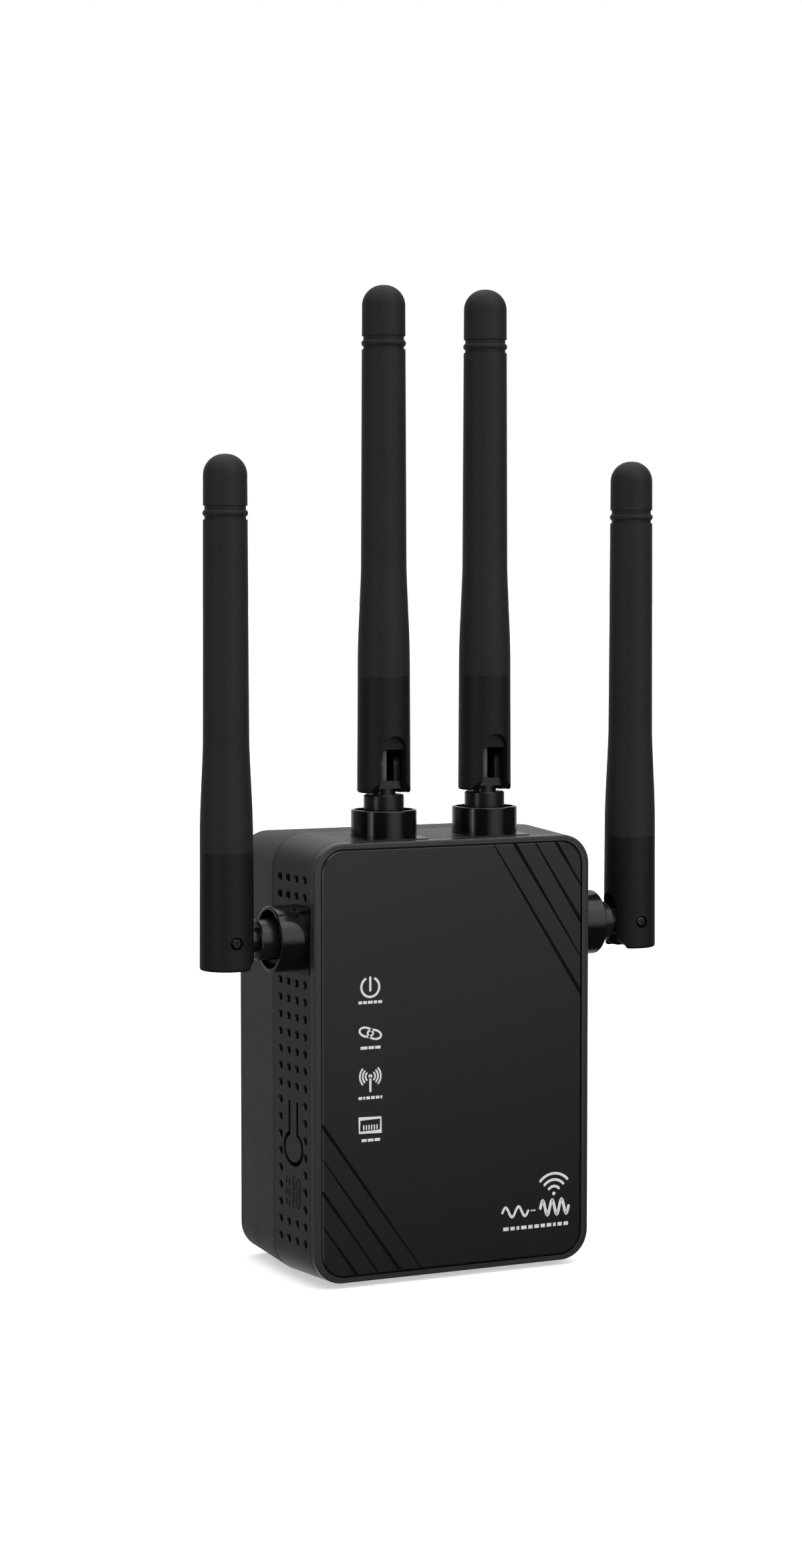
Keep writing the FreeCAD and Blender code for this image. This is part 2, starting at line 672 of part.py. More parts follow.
def taper_groove(start, end, start_width, end_width):
    """Groove with 45 degree walls in the panel's face, between two (x, z) points."""
    run = Vector(end[0] - start[0], 0, end[1] - start[1])
    run.normalize()
    across = Vector(-run.z, 0, run.x)
    ends = []
    for point, along, width in ((start, -2, start_width), (end, 2, end_width)):
        middle = Vector(point[0], -body_depth, point[1]) + run * along
        mouth = middle - Y * 0.5
        half = width / 2 + 0.5
        corners = [middle + Y * (width / 2), mouth + across * half, mouth - across * half]
        ends.append(Part.makePolygon(corners + corners[:1]))
    return Part.makeLoft(ends, True, True)


def make_front_panel():
    """Glossy panel with four slanted grooves in two opposite corners, thick at alternate ends."""
    half_x = half_width - rim_side - panel_gap
    half_z = half_height - rim_top - panel_gap
    radius = corner_radius - rim_top - panel_gap
    panel = straight_solid(panel_back_depth, body_depth, half_x, half_z, radius)
    panel = panel.makeChamfer(panel_chamfer, edges_at_depth(panel, body_depth))
    for index in range(grooves_per_corner):
        widths = (groove_thick, groove_thin) if index % 2 else (groove_thin, groove_thick)
        top_x = upper_groove_start + index * groove_pitch
        drop = (half_x - top_x) * upper_groove_slope
        panel = panel.cut(taper_groove((top_x, half_z), (half_x, half_z - drop), *widths))
        bottom_x = lower_groove_start - index * groove_pitch
        rise = (bottom_x + half_x) * lower_groove_slope
        panel = panel.cut(taper_groove((bottom_x, -half_z), (-half_x, rise - half_z), *widths))
    return panel


# ---- Pair button and its switch ----
def button_wall_x(depth):
    """Outer face of the left wall at this depth."""
    return -(half_width + flare(depth))


def make_pair_button():
    """Keyhole tongue that follows the wall's draft, with a post that meets the plunger."""
    keyhole = button_outline(0)
    root_gap = block(-half_width - 5, 0, 0, body_depth, tongue_root_height - 0.02, half_height)
    skin = case_solid(parting_depth, shell_front_depth, 0)
    skin = skin.cut(case_solid(parting_depth - 1, shell_front_depth + 1, button_thickness))
    skin = skin.common(keyhole).cut(root_gap)
    inner = button_wall_x(button_depth) + button_thickness
    post = rod(button_post_radius, Vector(inner - 0.3, -button_depth, button_height), X,
               plunger_outer_x() - contact_gap - inner + 0.3)
    return join([skin, post])


def plunger_outer_x():
    return button_wall_x(button_depth) + wall + 0.1


def switch_outer_x():
    """Outer face of the switch's body: the plunger stands out of it by twice its travel."""
    return plunger_outer_x() + 2 * plunger_travel


def make_tact_switch():
    """Square switch body on a foot that reaches the main board, bored for its plunger."""
    x0 = switch_outer_x()
    x1 = x0 + switch_thickness
    half = switch_size / 2
    low, high = button_height - half, button_height + half
    body = block(x0, x1, button_depth - half, button_depth + half, low, high)
    foot = block(x0 + 0.4, x1, button_depth + half - 0.2, main_board_depth, low + 0.5, high - 0.5)
    bore_end = plunger_outer_x() + plunger_length + plunger_travel + 0.2
    bore = rod(plunger_radius + plunger_bore_gap, Vector(x0 - 0.1, -button_depth, button_height), X,
               bore_end - x0 + 0.1)
    return join([body, foot]).cut(bore)


def make_switch_plunger():
    start = Vector(plunger_outer_x(), -button_depth, button_height)
    return rod(plunger_radius, start, X, plunger_length)


# ---- Plug ----
def make_plug_insert():
    body = block(-insert_half_width, insert_half_width, 0, power_board_depth,
                 -insert_half_height, insert_half_height)
    wide = insert_half_width + insert_flange
    high = insert_half_height + insert_flange
    flange = block(-wide, wide, wall + fit_gap, wall + fit_gap + insert_flange_thickness, -high, high)
    body = join([body, flange])
    for sx in (-1, 1):
        body = body.cut(blade_block(sx, touch_gap, -1, power_board_depth + 1))
    return body


def blade_block(side, gap, d0, d1):
    x = side * blade_spacing / 2
    half_t = blade_thickness / 2 + gap
    half_h = blade_height / 2 + gap
    return block(x - half_t, x + half_t, d0, d1, -half_h, half_h)


def make_plug_blade(side):
    """Flat blade, through the insert and soldered into the power board."""
    blade = blade_block(side, 0, -blade_length, power_board_front + 1)
    tip = [e for e in blade.Edges if abs(e.BoundBox.YMin - blade_length) < 1e-4]
    blade = blade.makeChamfer(blade_tip_chamfer, tip)
    start = Vector(side * blade_spacing / 2 - blade_thickness, blade_hole_from_face, 0)
    return blade.cut(rod(blade_hole_radius, start, X, 2 * blade_thickness))


# ---- Power board ----
TRANSFORMER = (8.0, -16.0)
core_width = 20.0
core_height = 18.0
core_depth = 7.0
core_lift = 1.5             # bobbin's foot below the core
core_leg = 4.0
core_window = 4.5
core_window_height = 12.0
fuse_radius = 1.9
fuse_length = 8.5
fuse_cap = 2.0
fuse_inset = 4.0            # from the edge of the power board
fuse_height = 14.0
header_width = 5.2
header_height = 2.6
header_block = 2.5
header_inset = 4.4          # header's middle from the edge of the power board
header_z = 10.3
header_pin_radius = 0.45
header_pin_pitch = 2.54
bulk_capacitor = (4.0, 12.0)    # radius and length
bulk_capacitor_inset = 9.0
bulk_capacitor_z = (-12.0, -22.0)
output_capacitor = (3.2, 11.0)
output_capacitor_place = (14.0, 20.0)
rectifier_size = (8.5, 2.4, 6.5)
rectifier_place = (-7.75, 21.25)


def make_power_board():
    board = block(-power_board_half_width, power_board_half_width, power_board_depth, power_board_front,
                  -power_board_half_height, power_board_half_height)
    for sx in (-1, 1):
        board = board.cut(blade_block(sx, fit_gap, 0, parting_depth))
    return board


def make_transformer_core():
    """Ferrite frame with a middle leg, held just above the power board by its bobbin."""
    x, z = TRANSFORMER
    d0 = power_board_front + core_lift
    frame = block(x - core_width / 2, x + core_width / 2, d0, d0 + core_depth,
                  z - core_height / 2, z + core_height / 2)
    for side in (-1, 1):
        x0, x1 = sorted((x + side * core_leg / 2, x + side * (core_leg / 2 + core_window)))
        frame = frame.cut(block(x0, x1, d0 - 1, d0 + core_depth + 1,
                                z - core_window_height / 2, z + core_window_height / 2))
    return frame


def make_transformer_winding():
    """Taped winding round the middle leg, standing on the board."""
    x, z = TRANSFORMER
    d0 = power_board_front
    half_x = core_leg / 2 + core_window - fit_gap
    half_z = core_window_height / 2 - fit_gap
    top = core_depth + 2 * core_lift
    coil = block(x - half_x, x + half_x, d0, d0 + top, z - half_z, z + half_z)
    leg = core_leg / 2 + fit_gap
    leg_low = core_lift - fit_gap
    leg_top = core_lift + core_depth + fit_gap
    return coil.cut(block(x - leg, x + leg, d0 + leg_low, d0 + leg_top, z - core_height, z + core_height))


def make_bulk_capacitors():
    x = bulk_capacitor_inset - power_board_half_width
    return Part.makeCompound([make_capacitor(x, z, *bulk_capacitor) for z in bulk_capacitor_z])


def make_rectifier():
    width, thick, height = rectifier_size
    x, z = rectifier_place
    return block(x - width / 2, x + width / 2, power_board_front, power_board_front + thick,
                 z - height / 2, z + height / 2)


def make_capacitor(x, z, radius, length):
    can = depth_rod(radius, x, z, power_board_front, power_board_front + length)
    top = edges_at_depth(can, power_board_front + length)
    return can.makeFillet(0.5, top)


def make_mains_fuse():
    """Glass tube between two metal caps, lying on the board."""
    x0 = fuse_inset - power_board_half_width
    d = power_board_front + fuse_radius
    tube = rod(fuse_radius - fit_gap, Vector(x0, -d, fuse_height), X, fuse_length)
    for x in (x0, x0 + fuse_length - fuse_cap):
        tube = tube.fuse(rod(fuse_radius, Vector(x, -d, fuse_height), X, fuse_cap))
    return tube.removeSplitter()


def make_link_header():
    """Rigid pins that carry the low voltage from the power board to the main board."""
    half_x, half_z = header_width / 2, header_height / 2
    x, z = header_middle()
    pieces = []
    for d0 in (power_board_front, main_board_depth - header_block):
        pieces.append(block(x - half_x, x + half_x, d0, d0 + header_block, z - half_z, z + half_z))
    for side in (-1, 1):
        pieces.append(depth_rod(header_pin_radius, x + side * header_pin_pitch / 2, z,
                                power_board_front + 1, main_board_depth - 1))
    return join(pieces)


def header_middle():
    return power_board_half_width - header_inset, header_z


def make_insulating_sheet():
    sheet = case_solid(sheet_depth, sheet_depth + sheet_thickness, sheet_inset)
    for x, z in BOSSES:
        sheet = sheet.cut(depth_rod(rear_boss_radius + 0.4, x, z, 0, parting_depth))
    x, z = header_middle()
    half_x, half_z = header_width / 2 + 0.5, header_height / 2 + 0.5
    return sheet.cut(block(x - half_x, x + half_x, 0, parting_depth, z - half_z, z + half_z))


# ---- Main board ----
PROCESSOR = (9.0, 12.0)
processor_size = (12.0, 12.0, 1.4)
sink_size = 14.0
sink_base = 1.6
sink_height = 5.6
sink_fins = 6
sink_fin_thickness = 1.2
RADIO = (-10.0, 8.0)
radio_chip_size = (9.0, 9.0, 1.0)
shield_size = (18.0, 22.0, 2.6)
shield_sheet = 0.25
magnetics_size = (12.7, 7.0, 3.0)
magnetics_gap = 1.1         # between the jack and its magnetics
magnetics_z = jack_mouth + jack_length + magnetics_gap + magnetics_size[1] / 2
memory_size = (8.0, 6.0, 1.0)
memory_pitch = 8.0
memory_gap = 3.5            # between the magnetics and the lower memory chip
memory_x = 10.0
memory_z = magnetics_z + magnetics_size[1] / 2 + memory_gap + memory_size[1] / 2
STATUS_LED_X = 11.6 - half_width
STATUS_LED_Z = (14.5, 5.6, -3.3, -12.0)
SIGNAL_LED = (half_width - 7.7, 15.4 - half_height)
led_size = (1.6, 0.8, 0.6)
guide_half_width = 2.6
signal_guide_half_width = 3.2
guide_overhang = 2.5
guide_foot = 1.2
COAX_LANDINGS = {"top_left": (-8.0, half_height - 14.5), "top_right": (8.0, half_height - 14.5),
                 "side_left": (8.2 - half_width, side_antenna_height - 9.6),
                 "side_right": (half_width - 8.2, side_antenna_height - 8.6)}


def make_main_board():
    """Board with notches round the four antenna sockets."""
    board = straight_solid(main_board_depth, main_board_front, half_width - main_board_inset,
                           half_height - main_board_inset, corner_radius - 2)
    notch_half = drum_flange_radius + plinth_flange + 2
    notch_deep = wall + plinth_flange_depth + drum_flange_thickness + 1.2
    notch = local_box(-notch_half, notch_half, -15, 15, -notch_deep, 10)
    for name in ANTENNAS:
        board = board.cut(placed(notch, socket_frame(name)))
    for x, z in BOSSES:
        board = board.cut(depth_rod(board_screw_radius + fit_gap, x, z, 0, body_depth))
    return board


def box_on_board(place, size):
    """Component on the wall side of the main board: width, height and thickness about its place."""
    x, z = place
    width, height, thickness = size
    return block(x - width / 2, x + width / 2, main_board_depth - thickness, main_board_depth,
                 z - height / 2, z + height / 2)


def make_heat_sink():
    """Finned block on top of the processor."""
    x, z = PROCESSOR
    half = sink_size / 2
    top = main_board_depth - processor_size[2]
    pieces = [block(x - half, x + half, top - sink_base, top, z - half, z + half)]
    pitch = (sink_size - sink_fin_thickness) / (sink_fins - 1)
    for index in range(sink_fins):
        x0 = x - half + index * pitch
        pieces.append(block(x0, x0 + sink_fin_thickness, top - sink_height, top - sink_base + 0.1,
                            z - half, z + half))
    return join(pieces)


def make_radio_shield():
    """Thin tinned can over the radio chip, open towards the board."""
    width, height, thickness = shield_size
    x, z = RADIO
    inner_x, inner_z = width / 2 - shield_sheet, height / 2 - shield_sheet
    inner = block(x - inner_x, x + inner_x, main_board_depth - thickness + shield_sheet,
                  main_board_depth + 1, z - inner_z, z + inner_z)
    return box_on_board(RADIO, shield_size).cut(inner)


def make_lan_jack_body():
    """Insulating block of the network socket, fitted inside its tin shield."""
    d0 = main_board_depth - jack_height + jack_shell_thickness
    half = jack_width / 2 - jack_shell_thickness
    end = jack_mouth + jack_length - jack_shell_thickness
    return block(-half, half, d0, main_board_depth, jack_mouth, end).cut(jack_cavity())


def jack_cavity():
    """Space for a network plug, with the step for its latch towards the panel."""
    window_half = jack_window_width / 2
    d0 = jack_middle_depth - jack_window_height / 2
    d1 = jack_middle_depth + jack_window_height / 2
    end = jack_mouth + jack_cavity_length
    window = block(-window_half, window_half, d0, d1, jack_mouth - 2, end)
    latch_half = latch_slot_width / 2
    latch = block(-latch_half, latch_half, d1 - 0.1, d1 + latch_slot_height, jack_mouth - 2, end)
    return window.fuse(latch)


def make_lan_jack_shell():
    """Folded tin shield round the jack, open at the mouth and towards the board."""
    half = jack_width / 2
    inner_half = half - jack_shell_thickness
    end = jack_mouth + jack_length
    d0 = main_board_depth - jack_height
    outer = block(-half, half, d0, main_board_depth, jack_mouth, end)
    inner = block(-inner_half, inner_half, d0 + jack_shell_thickness, main_board_depth + 1,
                  jack_mouth - 1, end - jack_shell_thickness)
    return outer.cut(inner)


def make_lan_contacts():
    """Eight sprung wires that slope into the jack from its wall-side face."""
    floor_y = jack_window_height / 2 - jack_middle_depth
    start = jack_mouth + contact_setback
    deep = jack_mouth + jack_cavity_length
    wires = []
    for index in range(contact_count):
        x = (index - contact_count / 2 + 0.5) * contact_pitch - contact_thickness / 2
        corners = [Vector(x, floor_y, start), Vector(x, floor_y - contact_rise, deep),
                   Vector(x, floor_y - contact_rise + contact_thickness, deep),
                   Vector(x, floor_y, start + contact_foot)]
        face = Part.Face(Part.makePolygon(corners + corners[:1]))
        wires.append(face.extrude(Vector(contact_thickness, 0, 0)))
    return Part.makeCompound(wires)


def make_status_leds():
    places = [(STATUS_LED_X, z) for z in STATUS_LED_Z] + [SIGNAL_LED]
    half_x, half_z, high = led_size[0] / 2, led_size[1] / 2, led_size[2]
    leds = []
    for x, z in places:
        leds.append(block(x - half_x, x + half_x, main_board_front, main_board_front + high,
                          z - half_z, z + half_z))
    return Part.makeCompound(leds)


def light_guide(x, half_x, low, high):
    """Clear strip behind the panel, with a foot on the board at each end."""
    d0 = main_board_front + led_size[2] + touch_gap
    strip = block(x - half_x, x + half_x, d0, panel_back_depth - touch_gap, low, high)
    feet = [block(x - half_x, x + half_x, main_board_front, d0 + 0.1, z, z + guide_foot)
            for z in (low, high - guide_foot)]
    return join([strip] + feet)


def make_light_guides():
    x, z = SIGNAL_LED
    status = light_guide(STATUS_LED_X, guide_half_width, STATUS_LED_Z[-1] - guide_overhang,
                         STATUS_LED_Z[0] + guide_overhang)
    signal = light_guide(x, signal_guide_half_width, z - guide_overhang, z + guide_overhang)
    return Part.makeCompound([status, signal])


def coax_route(name):
    """Start at the knuckle's inner end, corner, and end beside the board connector."""
    inner = -(wall + fit_gap + plinth_flange_depth + drum_flange_gap + drum_flange_thickness + 0.3)
    start = socket_frame(name).multVec(Vector(0, 0, inner))
    x, z = COAX_LANDINGS[name]
    end = Vector(x, start.y, z)
    if name.startswith("top"):
        return start, Vector(start.x, start.y, end.z), end
    return start, Vector(end.x, start.y, start.z), end


def make_coax_leads():
    """Thin coax from each knuckle: straight in, one round bend, then along to its connector."""
    leads = []
    for name in ANTENNAS:
        start, corner, end = coax_route(name)
        radius = min((start - corner).Length, (end - corner).Length) * 0.8
        into = (corner - start).normalize()
        out = (end - corner).normalize()
        first = corner - into * radius
        last = corner + out * radius
        centre = first + out * radius
        middle = centre + (corner - centre).normalize() * radius
        edges = [Part.LineSegment(start, first), Part.Arc(first, middle, last), Part.LineSegment(last, end)]
        path = Part.Wire([edge.toShape() for edge in edges])
        section = Part.Wire([Part.Circle(start, into, coax_radius).toShape()])
        leads.append(path.makePipeShell([section], True, True))
    return Part.makeCompound(leads)


def make_coax_connectors():
    """Small board connectors, each a post from the board up to the end of its coax."""
    posts = []
    for name in ANTENNAS:
        _, corner, end = coax_route(name)
        centre = end + (end - corner).normalize() * coax_connector_radius
        top = -end.y - 1.5 * coax_radius
        posts.append(depth_rod(coax_connector_radius, centre.x, centre.z, top, main_board_depth))
    return Part.makeCompound(posts)


# ---- Screws ----
recess_half_width = 0.225


def make_screw(x, z, head_depth, towards_front, head_radius, head_height, radius, length):
    """Pan-head screw along the depth, with a cross recess. Its head seats at head_depth."""
    sign = 1 if towards_front else -1
    seat = Vector(x, -head_depth, z)
    into = Vector(0, -sign, 0)
    head = rod(head_radius, seat, Vector(0, sign, 0), head_height)
    top_y = seat.y + sign * head_height
    head = head.makeFillet(head_height * 0.4, edges_at_depth(head, -top_y))
    arm = head_radius * 0.55
    recess_y = min(top_y, top_y - sign * head_height * 0.6)
    for turn in (0, 90):
        slot = local_box(-arm, arm, 0, head_height * 1.2, -recess_half_width, recess_half_width)
        slot.Placement = Placement(Vector(x, recess_y, z), Rotation(Y, turn))
        head = head.cut(slot)
    return join([head, rod(radius, seat, into, length)])


def make_case_screws():
    return Part.makeCompound([make_screw(x, z, screw_recess_depth, True, screw_head_radius,
                                         screw_head_height, screw_radius, screw_length) for x, z in BOSSES])


def make_board_screws():
    return Part.makeCompound([make_screw(x, z, main_board_front, False, board_screw_head_radius,
                                         board_screw_head_height, board_screw_radius, board_screw_length)
                              for x, z in BOSSES])


def main():
    os.makedirs("parts", exist_ok=True)
    export(make_rear_cover(), "rear_cover")
    export(make_mid_housing(), "mid_housing")
    export(make_front_bezel(), "front_bezel")
    export(make_front_panel(), "front_panel")
    export(make_pair_button(), "pair_button")
    export(make_tact_switch(), "tact_switch")
    export(make_switch_plunger(), "switch_plunger")
    export(make_plug_insert(), "plug_insert")
    export(make_plug_blade(-1), "plug_blade_left")
    export(make_plug_blade(1), "plug_blade_right")
    export(make_power_board(), "power_board")
    export(make_transformer_core(), "transformer_core")
    export(make_transformer_winding(), "transformer_winding")
    export(make_bulk_capacitors(), "bulk_capacitors")
    export(make_capacitor(*output_capacitor_place, *output_capacitor), "output_capacitor")
    export(make_rectifier(), "rectifier")
    export(make_mains_fuse(), "mains_fuse")
    export(make_link_header(), "link_header")
    export(make_insulating_sheet(), "insulating_sheet")
    export(make_main_board(), "main_board")
    export(box_on_board(PROCESSOR, processor_size), "processor")
    export(make_heat_sink(), "heat_sink")
    export(box_on_board(RADIO, radio_chip_size), "radio_chip")
    export(make_radio_shield(), "radio_shield")
    memory_places = [(memory_x, memory_z), (memory_x, memory_z + memory_pitch)]
    export(Part.makeCompound([box_on_board(place, memory_size) for place in memory_places]), "memory_chips")
    export(box_on_board((0, magnetics_z), magnetics_size), "lan_magnetics")
    export(make_lan_jack_body(), "lan_jack_body")
    export(make_lan_jack_shell(), "lan_jack_shell")
    export(make_lan_contacts(), "lan_contacts")
    export(make_status_leds(), "status_leds")
    export(make_light_guides(), "light_guides")
    export(make_coax_leads(), "coax_leads")
    export(make_coax_connectors(), "coax_connectors")
    export(make_case_screws(), "case_screws")
    export(make_board_screws(), "board_screws")
    socket, knuckle = make_socket(), make_knuckle()
    radome, element = make_radome(), make_element()
    for name in ANTENNAS:
        hinge_pins, sleeve = make_hinge_pins(PIN_SIDES[name]), make_sleeve(PIN_SIDES[name])
        export(placed(socket, socket_frame(name)), "socket_" + name)
        export(placed(knuckle, knuckle_frame(name)), "knuckle_" + name)
        export(placed(hinge_pins, antenna_frame(name)), "hinge_pins_" + name)
        export(placed(sleeve, antenna_frame(name)), "sleeve_" + name)
        export(placed(radome, antenna_frame(name)), "radome_" + name)
        export(placed(element, antenna_frame(name)), "element_" + name)


main()
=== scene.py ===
import json
import math

import bmesh
import bpy
from mathutils import Matrix, Vector


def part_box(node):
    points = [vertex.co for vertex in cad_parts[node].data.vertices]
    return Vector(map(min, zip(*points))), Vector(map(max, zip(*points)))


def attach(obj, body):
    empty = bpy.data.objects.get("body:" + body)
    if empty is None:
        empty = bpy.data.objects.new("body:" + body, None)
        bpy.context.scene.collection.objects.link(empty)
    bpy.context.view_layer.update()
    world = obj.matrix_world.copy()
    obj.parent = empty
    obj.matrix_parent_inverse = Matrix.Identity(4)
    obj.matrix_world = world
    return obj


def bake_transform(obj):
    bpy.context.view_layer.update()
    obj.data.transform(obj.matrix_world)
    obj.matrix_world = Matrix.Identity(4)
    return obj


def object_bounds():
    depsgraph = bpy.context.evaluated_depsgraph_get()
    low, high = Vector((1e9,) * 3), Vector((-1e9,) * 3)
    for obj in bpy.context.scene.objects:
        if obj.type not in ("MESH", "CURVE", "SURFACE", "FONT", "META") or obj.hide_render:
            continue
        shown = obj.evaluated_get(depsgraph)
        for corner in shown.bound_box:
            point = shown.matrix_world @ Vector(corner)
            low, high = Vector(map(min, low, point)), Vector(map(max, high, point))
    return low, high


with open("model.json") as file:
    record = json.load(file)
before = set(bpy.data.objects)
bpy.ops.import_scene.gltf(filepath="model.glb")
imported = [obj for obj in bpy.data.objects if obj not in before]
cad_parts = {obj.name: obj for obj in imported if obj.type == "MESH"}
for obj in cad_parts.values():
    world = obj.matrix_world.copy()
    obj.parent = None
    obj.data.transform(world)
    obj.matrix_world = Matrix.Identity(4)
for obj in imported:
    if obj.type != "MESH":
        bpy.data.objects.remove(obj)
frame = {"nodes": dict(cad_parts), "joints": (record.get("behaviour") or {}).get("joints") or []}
nodes = frame["nodes"]
cad_low, cad_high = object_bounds()
MM = 0.001

# ---- Rear cover ----
# The half of the case that meets the wall: injection-moulded black plastic from a spark-eroded
# mould, so its walls have a fine matt grain. Four long screws hold it to the front shell.
def feed(tree, sockets, inputs):
    """Fills inputs with plain values or with other nodes' outputs."""
    for label, value in inputs.items():
        if isinstance(value, bpy.types.NodeSocket):
            tree.links.new(value, sockets[label])
        else:
            sockets[label].default_value = value


def add_node(tree, kind, inputs, **settings):
    made = tree.nodes.new("ShaderNode" + kind)
    for label, value in settings.items():
        setattr(made, label, value)
    feed(tree, made.inputs, inputs)
    return made


def calculate(tree, operation, first, second=0.0):
    return add_node(tree, "Math", {0: first, 1: second}, operation=operation).outputs[0]


def noise(tree, place, scale, detail=2.0):
    inputs = {"Vector": place, "Scale": scale, "Detail": detail}
    return add_node(tree, "TexNoise", inputs).outputs["Fac"]


def remap(tree, value, low, high, new_low=0.0, new_high=1.0):
    inputs = {"Value": value, "From Min": low, "From Max": high, "To Min": new_low, "To Max": new_high}
    return add_node(tree, "MapRange", inputs).outputs["Result"]


def blend_colours(tree, share, first, second):
    """Mix node set to colours. It has inputs of every type, so these are found by number."""
    factor, colour_a, colour_b, colour_result = 0, 6, 7, 2
    inputs = {factor: share, colour_a: first, colour_b: second}
    return add_node(tree, "Mix", inputs, data_type="RGBA").outputs[colour_result]


def start_group(name, inputs, outputs):
    """New node group with named inputs (and their first values) and named outputs."""
    group = bpy.data.node_groups.new(name, "ShaderNodeTree")
    for label, kind, value in inputs:
        socket = group.interface.new_socket(label, in_out="INPUT", socket_type="NodeSocket" + kind)
        socket.default_value = value
    for label, kind in outputs:
        group.interface.new_socket(label, in_out="OUTPUT", socket_type="NodeSocket" + kind)
    return group, group.nodes.new("NodeGroupInput").outputs, group.nodes.new("NodeGroupOutput").inputs


def place_group(tree, group, inputs):
    made = tree.nodes.new("ShaderNodeGroup")
    made.node_tree = group
    feed(tree, made.inputs, inputs)
    return made.outputs


# Grain that a spark-eroded mould leaves: fine pits, with slow changes of tone between them.
mould_grain, given, result = start_group(
    "mould_grain",
    [("Colour", "Color", (0.02, 0.02, 0.02, 1)), ("Tone Spread", "Float", 0.2), ("Grain", "Float", 2500.0),
     ("Roughness", "Float", 0.5), ("Roughness Spread", "Float", 0.1)],
    [("Colour", "Color"), ("Roughness", "Float"), ("Height", "Float")])
tree = mould_grain
place = add_node(tree, "TexCoord", {}).outputs["Object"]
fine = noise(tree, place, given["Grain"], 3.0)
slow = noise(tree, place, 70.0, 2.0)
fine_share = 0.7
both = calculate(tree, "ADD", calculate(tree, "MULTIPLY", fine, fine_share),
                 calculate(tree, "MULTIPLY", slow, 1 - fine_share))
centred = calculate(tree, "SUBTRACT", both, 0.5)
tone = calculate(tree, "ADD", calculate(tree, "MULTIPLY", centred, given["Tone Spread"]), 1.0)
scaled = add_node(tree, "VectorMath", {0: given["Colour"], "Scale": tone}, operation="SCALE")
tree.links.new(scaled.outputs[0], result["Colour"])
rough = calculate(tree, "ADD", given["Roughness"],
                  calculate(tree, "MULTIPLY", centred, given["Roughness Spread"]))
tree.links.new(rough, result["Roughness"])
tree.links.new(fine, result["Height"])

# What hands and shelves leave on smooth plastic: greasy patches and a few hair scratches.
handling, given, result = start_group("handling", [("Patch Scale", "Float", 90.0)],
                                      [("Patches", "Float"), ("Scratches", "Float")])
tree = handling
place = add_node(tree, "TexCoord", {}).outputs["Object"]
patches = remap(tree, noise(tree, place, given["Patch Scale"], 4.0), 0.52, 0.72)
tree.links.new(patches, result["Patches"])
scratch_scale = (60, 2600, 60)
stretched = add_node(tree, "Mapping", {"Vector": place, "Rotation": (0.4, 0.9, 0.3), "Scale": scratch_scale})
threads = remap(tree, noise(tree, stretched.outputs[0], 1.0, 1.0), 0.735, 0.76)
tree.links.new(threads, result["Scratches"])

# Dust that settles on faces that look up.
settled_dust, given, result = start_group("settled_dust", [("Amount", "Float", 0.1)], [("Dust", "Float")])
tree = settled_dust
place = add_node(tree, "TexCoord", {}).outputs["Object"]
facing = add_node(tree, "SeparateXYZ", {0: add_node(tree, "NewGeometry", {}).outputs["Normal"]}).outputs["Z"]
upward = remap(tree, facing, 0.35, 1.0)
specks = remap(tree, noise(tree, place, 3800.0, 1.0), 0.5, 0.78)
tree.links.new(calculate(tree, "MULTIPLY", calculate(tree, "MULTIPLY", upward, specks), given["Amount"]),
               result["Dust"])

DUST_COLOUR = (0.16, 0.15, 0.14, 1)


def moulded_plastic(name, colour, tone_spread, grain, grain_height, roughness, roughness_spread,
                    dust=0.25, reflectance=0.5):
    """Plastic with its mould's grain, handling marks and a trace of dust. grain_height is in mm."""
    material = bpy.data.materials.new(name)
    material.use_nodes = True
    tree = material.node_tree
    surface = tree.nodes["Principled BSDF"].inputs
    grained = place_group(tree, mould_grain, {
        "Colour": (*colour, 1), "Tone Spread": tone_spread, "Grain": grain,
        "Roughness": roughness, "Roughness Spread": roughness_spread})
    marks = place_group(tree, handling, {"Patch Scale": 90.0})
    dusty = place_group(tree, settled_dust, {"Amount": dust})["Dust"]
    tree.links.new(blend_colours(tree, dusty, grained["Colour"], DUST_COLOUR), surface["Base Color"])
    roughened = grained["Roughness"]
    for mask, added_roughness in ((marks["Patches"], 0.05), (marks["Scratches"], 0.12), (dusty, 0.5)):
        roughened = calculate(tree, "ADD", roughened, calculate(tree, "MULTIPLY", mask, added_roughness))
    tree.links.new(roughened, surface["Roughness"])
    bump = add_node(tree, "Bump", {"Height": grained["Height"], "Strength": 0.6, "Distance": grain_height * MM})
    tree.links.new(bump.outputs["Normal"], surface["Normal"])
    surface["Specular IOR Level"].default_value = reflectance
    return material


def dress(material, *names):
    """Gives CAD nodes their finish."""
    for name in names:
        for place in nodes[name].material_slots:
            place.material = material


case_textured = moulded_plastic("case_textured", (0.014, 0.014, 0.0145), 0.5, 2600.0, 0.05, 0.5, 0.25)
dress(case_textured, "rear_cover")

# ---- Front shell ----
# The half with the vents and the antenna sockets: the same black plastic from a smoother part of
# the mould, so it has a satin face that shows soft reflections.
case_satin = moulded_plastic("case_satin", (0.010, 0.010, 0.0105), 0.3, 3200.0, 0.015, 0.33, 0.12)
dress(case_satin, "mid_housing")

# ---- Bezel ----
# A separate polished rim, pressed onto the front shell. It holds the panel, and its thin outer
# bead and inner step catch the light as fine lines.
rim_gloss = moulded_plastic("rim_gloss", (0.024, 0.024, 0.0245), 0.15, 1500.0, 0.004, 0.16, 0.06, dust=0.1)
dress(rim_gloss, "front_bezel")

# ---- Front panel ----
# A flat acrylic plate, back-coated black and polished, with slanted grooves cut into two corners.
# It lies in a pocket of the bezel.
panel_gloss = moulded_plastic("panel_gloss", (0.008, 0.008, 0.0083), 0.12, 900.0, 0.0015, 0.1, 0.03,
                              dust=0.05)
dress(panel_gloss, "front_panel")

